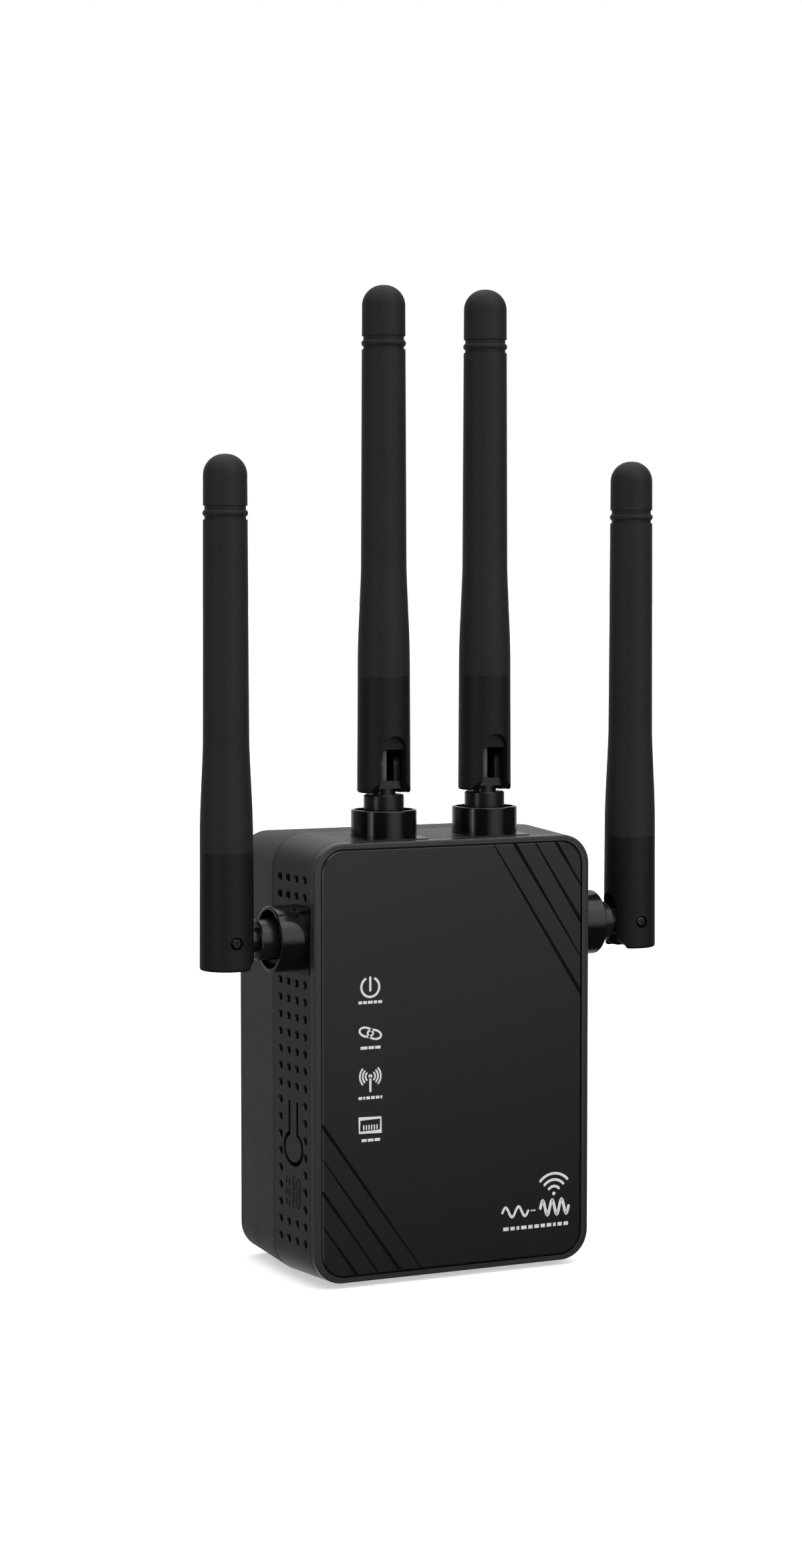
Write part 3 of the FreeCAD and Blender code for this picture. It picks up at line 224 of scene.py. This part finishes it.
# ---- Printed marks on the panel ----
# Light silver ink, screen-printed on the panel: four status marks with a row of dashes under
# each, and radio waves in the lower corner. The marks are plain signs of no maker.
ink_thickness = 0.02
panel_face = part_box("front_panel")[0].y


def arc(centre_x, centre_z, radius, start, end, steps):
    """Points of an arc, in mm, between two angles in degrees."""
    points = []
    for step in range(steps + 1):
        angle = math.radians(start + (end - start) * step / steps)
        points.append(Vector((centre_x + radius * math.cos(angle), centre_z + radius * math.sin(angle))))
    return points


def draw_line(marks, points, width, closed=False):
    """Flat line through 2-D points, in mm, with round ends unless it is closed."""
    points = [Vector(point) for point in points]
    half = width / 2
    last = len(points) - 1
    rails = []
    for index, point in enumerate(points):
        before = points[index - 1] if index or closed else point
        after = points[(index + 1) % len(points)] if index < last or closed else point
        run = (after - before).normalized()
        bend = (point - before).normalized() if point != before else run
        across = Vector((-run.y, run.x)) * (half / max(abs(run.dot(bend)), 0.5))
        rails.append([marks.verts.new((*(point + across), 0)), marks.verts.new((*(point - across), 0))])
    pairs = list(zip(rails, rails[1:])) + ([(rails[-1], rails[0])] if closed else [])
    for (left, right), (next_left, next_right) in pairs:
        marks.faces.new((left, right, next_right, next_left))
    if closed:
        return
    for end, inner in ((0, 1), (last, last - 1)):
        run = (points[end] - points[inner]).normalized()
        heading = math.atan2(run.y, run.x)
        edge = rails[end] if end else rails[end][::-1]
        cap = [marks.verts.new((points[end].x + half * math.cos(heading + turn),
                                points[end].y + half * math.sin(heading + turn), 0))
               for turn in (math.pi / 4, 0, -math.pi / 4)]
        marks.faces.new([edge[0]] + cap + [edge[1]])


def draw_dot(marks, x, z, radius):
    rim = [marks.verts.new((*point, 0)) for point in arc(x, z, radius, 0, 342, 19)]
    marks.faces.new(rim)


def draw_dashes(marks, start_x, z, widths, height, gap):
    """Row of square-ended dashes, laid out from the left."""
    x = start_x
    for width in widths:
        marks.faces.new([marks.verts.new((x + dx, z + dz, 0)) for dx, dz in (
            (0, -height / 2), (width, -height / 2), (width, height / 2), (0, height / 2))])
        x += width + gap


def finish_marks(name, marks, thickness, to_frame):
    """Thickens flat marks, lays them on their face and makes them one object."""
    grown = bmesh.ops.extrude_face_region(marks, geom=marks.faces[:])
    for vertex in (item for item in grown["geom"] if isinstance(item, bmesh.types.BMVert)):
        vertex.co.z = thickness
    for vertex in marks.verts:
        vertex.co = to_frame(vertex.co)
    bmesh.ops.recalc_face_normals(marks, faces=marks.faces[:])
    mesh = bpy.data.meshes.new(name)
    marks.to_mesh(mesh)
    marks.free()
    made = bpy.data.objects.new(name, mesh)
    bpy.context.scene.collection.objects.link(made)
    return made


def on_panel(point):
    """From panel millimetres (x, z, thickness) to the frame, sunk a little into the face."""
    sunk = point.z - ink_thickness / 2
    return Vector((point.x * MM, panel_face - sunk * MM, point.y * MM))


silver_ink = bpy.data.materials.new("silver_ink")
silver_ink.use_nodes = True
tree = silver_ink.node_tree
surface = tree.nodes["Principled BSDF"].inputs
place = add_node(tree, "TexCoord", {}).outputs["Object"]
speckle = noise(tree, place, 5200.0, 2.0)
thin_spots = remap(tree, noise(tree, place, 1400.0, 2.0), 0.3, 0.75)
tree.links.new(blend_colours(tree, thin_spots, (0.72, 0.72, 0.73, 1), (0.62, 0.62, 0.63, 1)),
               surface["Base Color"])
tree.links.new(remap(tree, speckle, 0.3, 0.7, 0.38, 0.55), surface["Roughness"])
tree.links.new(add_node(tree, "Bump", {"Height": speckle, "Strength": 0.3, "Distance": 0.005 * MM}).outputs[0],
               surface["Normal"])

column = -17.9
stroke = 0.45
dash_height = 0.55
dash_gap = 0.22

power = bmesh.new()
draw_line(power, arc(column, 14.5, 1.88, 122, 418, 32), stroke)
draw_line(power, [(column, 16.35), (column, 13.85)], stroke)
draw_dashes(power, -20.4, 11.6, (0.8, 0.75, 1.0, 0.7, 0.85), dash_height, dash_gap)

pair = bmesh.new()
for side in (-1, 1):
    link = [Matrix.Rotation(math.radians(-16), 2) @ Vector((1.45 * math.cos(a), 0.85 * math.sin(a)))
            for a in (math.radians(15 * step) for step in range(24))]
    draw_line(pair, [(column + side * 0.85 + p.x, 5.66 - side * 0.26 + p.y) for p in link], 0.4, closed=True)
draw_dashes(pair, -19.95, 2.9, (1.45, 1.2, 1.1), dash_height, dash_gap)

signal = bmesh.new()
draw_line(signal, [(column, -2.9), (column, -5.45)], stroke)
draw_dot(signal, column, -2.6, 0.42)
for radius in (1.0, 1.6, 2.2):
    for middle in (0, 180):
        draw_line(signal, arc(column, -2.6, radius, middle - 42, middle + 42, 12), 0.34)
draw_dashes(signal, -20.4, -6.7, (0.8, 0.4, 0.8, 0.75, 0.75, 0.4), dash_height, dash_gap)

port = bmesh.new()
corners = [(-20.2, -10.65), (-15.7, -10.65), (-15.7, -13.3), (-20.2, -13.3)]
draw_line(port, corners, 0.4, closed=True)
for index in range(6):
    x = -19.3 + index * 0.56
    draw_line(port, [(x, -12.75), (x, -12.0)], 0.26)
draw_dashes(port, -19.75, -14.85, (1.05, 1.25, 1.15), dash_height, dash_gap)

waves = bmesh.new()
draw_dot(waves, 21.9, -28.6, 0.36)
for radius in (1.5, 2.8, 4.05):
    draw_line(waves, arc(21.9, -28.65, radius, 42, 138, 18), 0.52)


def draw_wave(marks, start_x, end_x, z, amplitude, periods, width):
    steps = 16 * periods
    points = []
    for step in range(steps + 1):
        share = step / steps
        points.append((start_x + share * (end_x - start_x),
                       z + amplitude * math.sin(share * periods * 2 * math.pi)))
    draw_line(marks, points, width)


draw_wave(waves, 10.5, 16.2, -31.5, 1.0, 2, 0.5)
for start_x, end_x in ((16.95, 17.1), (17.5, 17.65)):
    draw_line(waves, [(start_x, -31.55), (end_x, -31.55)], 0.34)
draw_wave(waves, 18.9, 25.2, -31.3, 1.45, 3, 0.6)
draw_dashes(waves, 10.7, -34.75, (1.2, 0.95, 0.6, 1.2, 0.95, 1.0, 0.95, 1.0, 0.6, 0.95, 1.0), 0.7, 0.4)

for name, marks in (("mark_power", power), ("mark_pair", pair), ("mark_signal", signal),
                    ("mark_port", port), ("mark_waves", waves)):
    piece = finish_marks(name, marks, ink_thickness, on_panel)
    piece.data.materials.append(silver_ink)
    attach(piece, "housing")

# ---- Antenna sockets ----
# Polished black collars, each in one moulding with a plinth that lies nearly flush with the wall.
# They slide into the open slots of the front shell before the bezel closes them in.
antennas = ("top_left", "top_right", "side_left", "side_right")
socket_gloss = moulded_plastic("socket_gloss", (0.004, 0.004, 0.0045), 0.2, 1500.0, 0.003, 0.12, 0.06,
                               dust=0.15)
dress(socket_gloss, *("socket_" + name for name in antennas))

# ---- Knuckles ----
# Glass-filled nylon swivels: a drum that turns in its collar, a neck, and two ears that carry the
# fold. They are a shade less glossy than the collars.
knuckle_plastic = moulded_plastic("knuckle_plastic", (0.008, 0.008, 0.0083), 0.3, 2400.0, 0.008, 0.26, 0.12,
                                  dust=0.1)
dress(knuckle_plastic, *("knuckle_" + name for name in antennas))


# ---- Hinge pins ----
# Two short blackened steel pins for each antenna, one in each ear, so that the coax passes between
# them. The sleeve's hole is open on one side, where a domed end shows, and blind on the other.
def metal(name, colour, worn_colour, roughness, grain, grain_height, brushed=(1, 1, 1)):
    """Metal with a grain that may be drawn out along one axis, and brighter rubbed patches."""
    material = bpy.data.materials.new(name)
    material.use_nodes = True
    tree = material.node_tree
    surface = tree.nodes["Principled BSDF"].inputs
    place = add_node(tree, "TexCoord", {}).outputs["Object"]
    drawn = add_node(tree, "Mapping", {"Vector": place, "Scale": brushed}).outputs[0]
    lines = noise(tree, drawn, grain, 4.0)
    rubbed = remap(tree, noise(tree, place, 320.0, 3.0), 0.45, 0.7)
    tree.links.new(blend_colours(tree, rubbed, (*colour, 1), (*worn_colour, 1)), surface["Base Color"])
    tree.links.new(remap(tree, lines, 0.25, 0.75, roughness - 0.07, roughness + 0.1), surface["Roughness"])
    bump = add_node(tree, "Bump", {"Height": lines, "Strength": 0.5, "Distance": grain_height * MM})
    tree.links.new(bump.outputs[0], surface["Normal"])
    surface["Metallic"].default_value = 1.0
    return material


pin_steel = metal("pin_steel", (0.03, 0.03, 0.032), (0.06, 0.06, 0.062), 0.2, 3000.0, 0.003)
dress(pin_steel, *("hinge_pins_" + name for name in antennas))

# ---- Antenna sleeves ----
# The slotted lower end of each antenna: matt black plastic, grained like the rest of the antenna
# and a shade darker, glued over the spigot of the radome.
sleeve_matte = moulded_plastic("sleeve_matte", (0.006, 0.006, 0.0063), 1.1, 2300.0, 0.07, 0.52, 0.3,
                               dust=0.03, reflectance=0.3)
dress(sleeve_matte, *("sleeve_" + name for name in antennas))

# ---- Radomes ----
# The long hollow upper part of each antenna, in soft-touch matt plastic with a raised bead between
# two ring grooves below its domed tip.
radome_matte = moulded_plastic("radome_matte", (0.015, 0.015, 0.0153), 1.1, 2300.0, 0.07, 0.56, 0.3,
                               dust=0.03, reflectance=0.25)
dress(radome_matte, *("radome_" + name for name in antennas))

# ---- Aerial strips ----
# A narrow circuit strip inside each radome, soldered to the end of its coax.
element_board = moulded_plastic("element_board", (0.30, 0.22, 0.08), 0.4, 1800.0, 0.01, 0.45, 0.15, dust=0.0)
dress(element_board, *("element_" + name for name in antennas))

# ---- Coax through the hinges ----
# Thin grey coax that leaves the swivel, passes between the two stub pins and enters the sleeve.
# It bends where the antenna folds.
coax_radius = 0.57
coax_below_pin = 11.0
bend_reach = 2.6
flex_start = -3.2
flex_step = 0.4
flex_stations = 16
tube_sides = 16
coax_grey = moulded_plastic("coax_grey", (0.15, 0.15, 0.155), 0.35, 1600.0, 0.01, 0.38, 0.15, dust=0.1)
joints = {joint["name"]: joint for joint in frame["joints"]}
up = Vector((0, 0, 1))


def coax_point(pin, outward, antenna_way, along):
    """Centre of the coax at a distance in mm along it, negative on the swivel's side of the fold."""
    share = min(max((along + bend_reach) / (2 * bend_reach), 0), 1)
    weight = share * share * (3 - 2 * share)
    turned = outward
    if outward != antenna_way:
        angle = weight * outward.angle(antenna_way)
        axis = outward.cross(antenna_way).normalized()
        turned = Matrix.Rotation(angle, 3, axis) @ outward
    return pin + turned * (along * MM)


for name in antennas:
    pin = Vector(joints["fold_" + name]["pos_m"])
    outward = (pin - Vector(joints["swivel_" + name]["pos_m"])).normalized()
    outward = Vector([round(value) for value in outward])
    stations = [-coax_below_pin, -5.0] + [flex_start + flex_step * step for step in range(flex_stations)]
    centres = [coax_point(pin, outward, up, along) for along in stations]
    tube = bmesh.new()
    rings = []
    for index, centre in enumerate(centres):
        run = (centres[min(index + 1, len(centres) - 1)] - centres[max(index - 1, 0)]).normalized()
        side = run.cross(Vector((0, 1, 0))).normalized()
        other = run.cross(side)
        ring = []
        for step in range(tube_sides):
            angle = step * 2 * math.pi / tube_sides
            ring.append(tube.verts.new(centre + (side * math.cos(angle) + other * math.sin(angle))
                                       * coax_radius * MM))
        rings.append(ring)
    for ring, next_ring in zip(rings, rings[1:]):
        for step in range(tube_sides):
            after = (step + 1) % tube_sides
            tube.faces.new((ring[step], ring[after], next_ring[after], next_ring[step]))
    tube.faces.new(rings[0][::-1])
    tube.faces.new(rings[-1])
    bmesh.ops.recalc_face_normals(tube, faces=tube.faces[:])
    mesh = bpy.data.meshes.new("coax_flex_" + name)
    tube.to_mesh(mesh)
    tube.free()
    mesh.polygons.foreach_set("use_smooth", [len(face.vertices) == 4 for face in mesh.polygons])
    mesh.materials.append(coax_grey)
    flex = bpy.data.objects.new("coax_flex_" + name, mesh)
    bpy.context.scene.collection.objects.link(flex)
    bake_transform(flex)

# ---- Pair button ----
# A keyhole-shaped tongue of the front shell: two slots free it, and its root bends when the oval
# pad is pressed. A raised sign is moulded into the wall below it.
dress(case_satin, "pair_button")
sign_height = 0.12
sign_sink = 0.02
rim_inset = 1.54             # panel's edge to the case's side, at the front face
seam_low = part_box("rear_cover")[0]
rim_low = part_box("front_bezel")[0]
seam_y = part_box("mid_housing")[1].y
wall_run = rim_low.y - seam_y
front_half_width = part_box("front_panel")[0].x - rim_inset * MM


def on_left_wall(point):
    """From wall millimetres (back to front, z, height) to the drafted left wall."""
    y = -point.x * MM
    share = (y - seam_y) / wall_run
    wall_x = seam_low.x + share * (front_half_width - seam_low.x)
    return Vector((wall_x - (point.z - sign_sink) * MM, y, point.y * MM))


sign = bmesh.new()
draw_line(sign, [(27.4, -22.4), (27.4, -28.6)], 0.22)
for row in range(3):
    z = -22.9 - 2.1 * row
    draw_line(sign, [(24.4, z), (24.4, z - 1.1)], 0.26)
    draw_line(sign, [(25.6, z - 0.2), (25.6, z - 1.4)], 0.26)
for side in (-1, 1):
    link = [(29.3 + 0.8 * math.cos(a), -25.5 + side * 1.15 + 1.75 * math.sin(a))
            for a in (math.radians(15 * step) for step in range(24))]
    draw_line(sign, link, 0.26, closed=True)
pair_sign = finish_marks("pair_sign", sign, sign_height, on_left_wall)
pair_sign.data.materials.append(case_satin)
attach(pair_sign, "housing")

# ---- Switch behind the button ----
# A small board-mounted push switch: a black body, and a pale plunger that the button's post meets.
switch_black = moulded_plastic("switch_black", (0.02, 0.02, 0.02), 0.3, 2600.0, 0.01, 0.4, 0.12, dust=0.0)
plunger_plastic = moulded_plastic("plunger_plastic", (0.52, 0.50, 0.45), 0.1, 1800.0, 0.005, 0.35, 0.1,
                                  dust=0.0)
dress(switch_black, "tact_switch")
dress(plunger_plastic, "switch_plunger")

# ---- Plug ----
# A flame-resistant insert, clamped between the rear cover and the power board, holds two
# nickel-plated brass blades. The blades show fine lines from going in and out of sockets.
insert_plastic = moulded_plastic("insert_plastic", (0.02, 0.02, 0.021), 0.3, 2000.0, 0.02, 0.4, 0.15)
blade_metal = metal("blade_metal", (0.62, 0.60, 0.56), (0.74, 0.72, 0.68), 0.22, 900.0, 0.004, (12, 0.6, 12))
dress(insert_plastic, "plug_insert")
dress(blade_metal, "plug_blade_left", "plug_blade_right")


# ---- Circuit boards ----
# Glass-epoxy boards under a green solder mask. Copper tracks and pads show through the mask as
# paler lines.
def circuit_board(name, mask_colour, track_colour):
    material = bpy.data.materials.new(name)
    material.use_nodes = True
    tree = material.node_tree
    surface = tree.nodes["Principled BSDF"].inputs
    place = add_node(tree, "TexCoord", {}).outputs["Object"]
    flat = add_node(tree, "Mapping", {"Vector": place, "Rotation": (math.pi / 2, 0, 0)}).outputs[0]
    bricks = add_node(tree, "TexBrick", {"Vector": flat, "Scale": 260.0, "Mortar Size": 0.035})
    tracks = calculate(tree, "SUBTRACT", 1.0, bricks.outputs["Fac"])
    kept = calculate(tree, "MULTIPLY", tracks, remap(tree, noise(tree, place, 160.0), 0.45, 0.55))
    tree.links.new(blend_colours(tree, kept, (*mask_colour, 1), (*track_colour, 1)), surface["Base Color"])
    tree.links.new(remap(tree, noise(tree, place, 900.0), 0.3, 0.7, 0.24, 0.38), surface["Roughness"])
    bump = add_node(tree, "Bump", {"Height": kept, "Strength": 0.4, "Distance": 0.03 * MM})
    tree.links.new(bump.outputs[0], surface["Normal"])
    return material


board_green = circuit_board("board_green", (0.012, 0.09, 0.035), (0.03, 0.2, 0.08))
dress(board_green, "main_board", "power_board")

# ---- Parts on the power board ----
# The mains side: a ferrite transformer with a taped winding, sleeved capacitors, a rectifier, a
# glass fuse, and the pins that carry the low voltage to the main board.
ferrite = moulded_plastic("ferrite", (0.03, 0.03, 0.032), 0.5, 900.0, 0.03, 0.6, 0.2, dust=0.0)
winding_tape = moulded_plastic("winding_tape", (0.55, 0.38, 0.05), 0.2, 500.0, 0.02, 0.3, 0.1, dust=0.0)
capacitor_sleeve = moulded_plastic("capacitor_sleeve", (0.02, 0.03, 0.09), 0.2, 700.0, 0.01, 0.28, 0.08,
                                   dust=0.0)
chip_black = moulded_plastic("chip_black", (0.018, 0.018, 0.018), 0.5, 2800.0, 0.01, 0.5, 0.15, dust=0.0)
fuse_glass = moulded_plastic("fuse_glass", (0.45, 0.47, 0.46), 0.2, 400.0, 0.004, 0.15, 0.05, dust=0.0)
header_metal = metal("header_metal", (0.70, 0.55, 0.25), (0.80, 0.66, 0.35), 0.25, 1800.0, 0.003, (6, 1, 6))
insulating_paper = moulded_plastic("insulating_paper", (0.50, 0.47, 0.40), 0.3, 1100.0, 0.02, 0.7, 0.15,
                                   dust=0.0)
dress(ferrite, "transformer_core")
dress(winding_tape, "transformer_winding")
dress(capacitor_sleeve, "bulk_capacitors", "output_capacitor")
dress(chip_black, "rectifier")
dress(fuse_glass, "mains_fuse")
dress(header_metal, "link_header")
dress(insulating_paper, "insulating_sheet")

# ---- Parts on the main board ----
# The radio and network side: packaged chips, a finned aluminium block glued to the processor, and
# a tinned can over the radio.
heat_sink_aluminium = metal("heat_sink_aluminium", (0.60, 0.61, 0.62), (0.72, 0.73, 0.74), 0.35, 1200.0,
                            0.006, (1, 1, 14))
tinned_steel = metal("tinned_steel", (0.62, 0.62, 0.60), (0.72, 0.72, 0.70), 0.27, 700.0, 0.004)
dress(chip_black, "processor", "radio_chip", "memory_chips", "lan_magnetics")
dress(heat_sink_aluminium, "heat_sink")
dress(tinned_steel, "radio_shield")

# ---- Network socket ----
# A shielded eight-contact socket in the bottom edge: a black insulating block in a folded tin
# shield, with gold-plated spring wires.
jack_plastic = moulded_plastic("jack_plastic", (0.018, 0.018, 0.018), 0.3, 2000.0, 0.01, 0.42, 0.12)
contact_gold = metal("contact_gold", (0.85, 0.62, 0.24), (0.92, 0.72, 0.36), 0.2, 2200.0, 0.002, (1, 6, 1))
dress(jack_plastic, "lan_jack_body")
dress(tinned_steel, "lan_jack_shell")
dress(contact_gold, "lan_contacts")

# ---- Status lamps ----
# Tiny white lamps on the main board, and clear strips that carry their light to the panel.
lamp_white = moulded_plastic("lamp_white", (0.75, 0.75, 0.70), 0.1, 1500.0, 0.003, 0.3, 0.08, dust=0.0)
light_guide_clear = moulded_plastic("light_guide_clear", (0.62, 0.64, 0.65), 0.08, 900.0, 0.003, 0.12, 0.05,
                                    dust=0.0)
dress(lamp_white, "status_leds")
dress(light_guide_clear, "light_guides")

# ---- Coax inside the case ----
# Each lead runs from its swivel to a small crimped connector on the main board.
dress(coax_grey, "coax_leads")
dress(contact_gold, "coax_connectors")

# ---- Screws ----
# Zinc-plated cross-recess screws: four long ones close the case from the back, four short ones
# hold the main board.
screw_steel = metal("screw_steel", (0.52, 0.52, 0.50), (0.66, 0.66, 0.64), 0.3, 1500.0, 0.004)
dress(screw_steel, "case_screws", "board_screws")

# ---- Studio ----
# A pale floor that runs out into a white sky, with two lamps and five soft sources in the sky: front,
# left, overhead and two weaker ones behind. Reflections see a darker room, as black flags make it.
floor_gap = 0.2
floor_height = cad_low.z - floor_gap * MM
floor_reach = 15.0
floor_lift = 0.5             # brightens the floor for the camera only, so that it meets the sky
floor_mesh = bpy.data.meshes.new("studio_floor")
floor_mesh.from_pydata([(x * floor_reach, y * floor_reach, floor_height)
                        for x, y in ((-1, -1), (1, -1), (1, 1), (-1, 1))], [], [(0, 1, 2, 3)])
floor = bpy.data.objects.new("studio_floor", floor_mesh)
bpy.context.scene.collection.objects.link(floor)
floor_paint = bpy.data.materials.new("floor_paint")
floor_paint.use_nodes = True
tree = floor_paint.node_tree
surface = tree.nodes["Principled BSDF"].inputs
place = add_node(tree, "TexCoord", {}).outputs["Object"]
rays = add_node(tree, "LightPath", {}).outputs
mottle = noise(tree, place, 14.0, 3.0)
pale = blend_colours(tree, mottle, (0.93, 0.93, 0.93, 1), (0.90, 0.90, 0.90, 1))
tree.links.new(pale, surface["Base Color"])
tree.links.new(remap(tree, mottle, 0.3, 0.7, 0.75, 0.85), surface["Roughness"])
surface["Specular IOR Level"].default_value = 0.0
surface["Emission Color"].default_value = (1, 1, 1, 1)
tree.links.new(calculate(tree, "MULTIPLY", rays["Is Camera Ray"], floor_lift), surface["Emission Strength"])
floor_mesh.materials.append(floor_paint)
floor.visible_glossy = False

world = bpy.data.worlds.new("studio_sky")
bpy.context.scene.world = world
world.use_nodes = True
tree = world.node_tree
sky = tree.nodes["Background"].inputs
seen = add_node(tree, "LightPath", {}).outputs["Is Camera Ray"]
way = add_node(tree, "TexCoord", {}).outputs["Generated"]


def glow(azimuth, elevation, stretch, inner, outer, level):
    """Soft source in the sky. A stretch under 1 draws it out upwards; angles are in degrees."""
    flat = math.cos(math.radians(elevation))
    aim = Vector((math.sin(math.radians(azimuth)) * flat, -math.cos(math.radians(azimuth)) * flat,
                  math.sin(math.radians(elevation)) * stretch)).normalized()
    squeezed = add_node(tree, "VectorMath", {0: way, 1: (1, 1, stretch)}, operation="MULTIPLY").outputs[0]
    unit = add_node(tree, "VectorMath", {0: squeezed}, operation="NORMALIZE").outputs[0]
    close = add_node(tree, "VectorMath", {0: unit, 1: aim}, operation="DOT_PRODUCT").outputs["Value"]
    made = add_node(tree, "MapRange", {"Value": close, "From Min": math.cos(math.radians(outer)),
                                       "From Max": math.cos(math.radians(inner)), "To Max": level},
                    interpolation_type="SMOOTHSTEP")
    return made.outputs["Result"]


room_level = 0.02
level = room_level
for azimuth, elevation, stretch, inner, outer, strength in (
        (14, 28, 1.0, 14, 47, 1.25),
        (-72, 6, 0.2, 6, 14, 0.8),
        (0, 90, 1.0, 20, 60, 1.6),
        (-150, 8, 0.5, 15, 50, 0.14),
        (155, 5, 0.6, 15, 60, 0.55)):
    level = calculate(tree, "ADD", glow(azimuth, elevation, stretch, inner, outer, strength), level)
tone = add_node(tree, "CombineColor", {0: level, 1: level, 2: level}).outputs[0]
tree.links.new(blend_colours(tree, seen, tone, (1, 1, 1, 1)), sky["Color"])


lamp_target = Vector((0, 0, 0.05))


def soft_box(name, place, width, height, power):
    """Rectangular lamp that looks at the middle of the object, out of the camera's sight."""
    lamp = bpy.data.lights.new(name, "AREA")
    lamp.shape = "RECTANGLE"
    lamp.size = width
    lamp.size_y = height
    lamp.energy = power
    made = bpy.data.objects.new(name, lamp)
    made.location = place
    made.rotation_mode = "QUATERNION"
    made.rotation_quaternion = (lamp_target - Vector(place)).to_track_quat("-Z", "Y")
    made.visible_camera = False
    bpy.context.scene.collection.objects.link(made)


soft_box("lamp_left", (-1.1, -0.45, 0.35), width=0.12, height=0.9, power=0.7)
soft_box("lamp_right", (0.9, -0.9, 0.45), width=0.3, height=0.6, power=0.6)
bpy.context.scene.view_settings.view_transform = "Standard"

# ---- Camera ----
# A plain view from the front left, a little above the middle of the case. The lens is a short
# telephoto, so the case and the antennas keep their real proportions.
view_azimuth = math.radians(-25.742)
view_elevation = math.radians(3.763)
view_distance = 0.60766
view_target = Vector((-0.001057, -0.015, 0.051411))
lens_length = 70.51

camera = bpy.data.objects.new("camera", bpy.data.cameras.new("camera"))
bpy.context.scene.collection.objects.link(camera)
towards_camera = Vector((math.sin(view_azimuth) * math.cos(view_elevation),
                         -math.cos(view_azimuth) * math.cos(view_elevation), math.sin(view_elevation)))
camera.data.sensor_width = 36
camera.data.lens = lens_length
camera.data.clip_start = 0.01
camera.location = view_target + towards_camera * view_distance
camera.rotation_mode = "QUATERNION"
camera.rotation_quaternion = (-towards_camera).to_track_quat("-Z", "Y")
bpy.context.scene.camera = camera
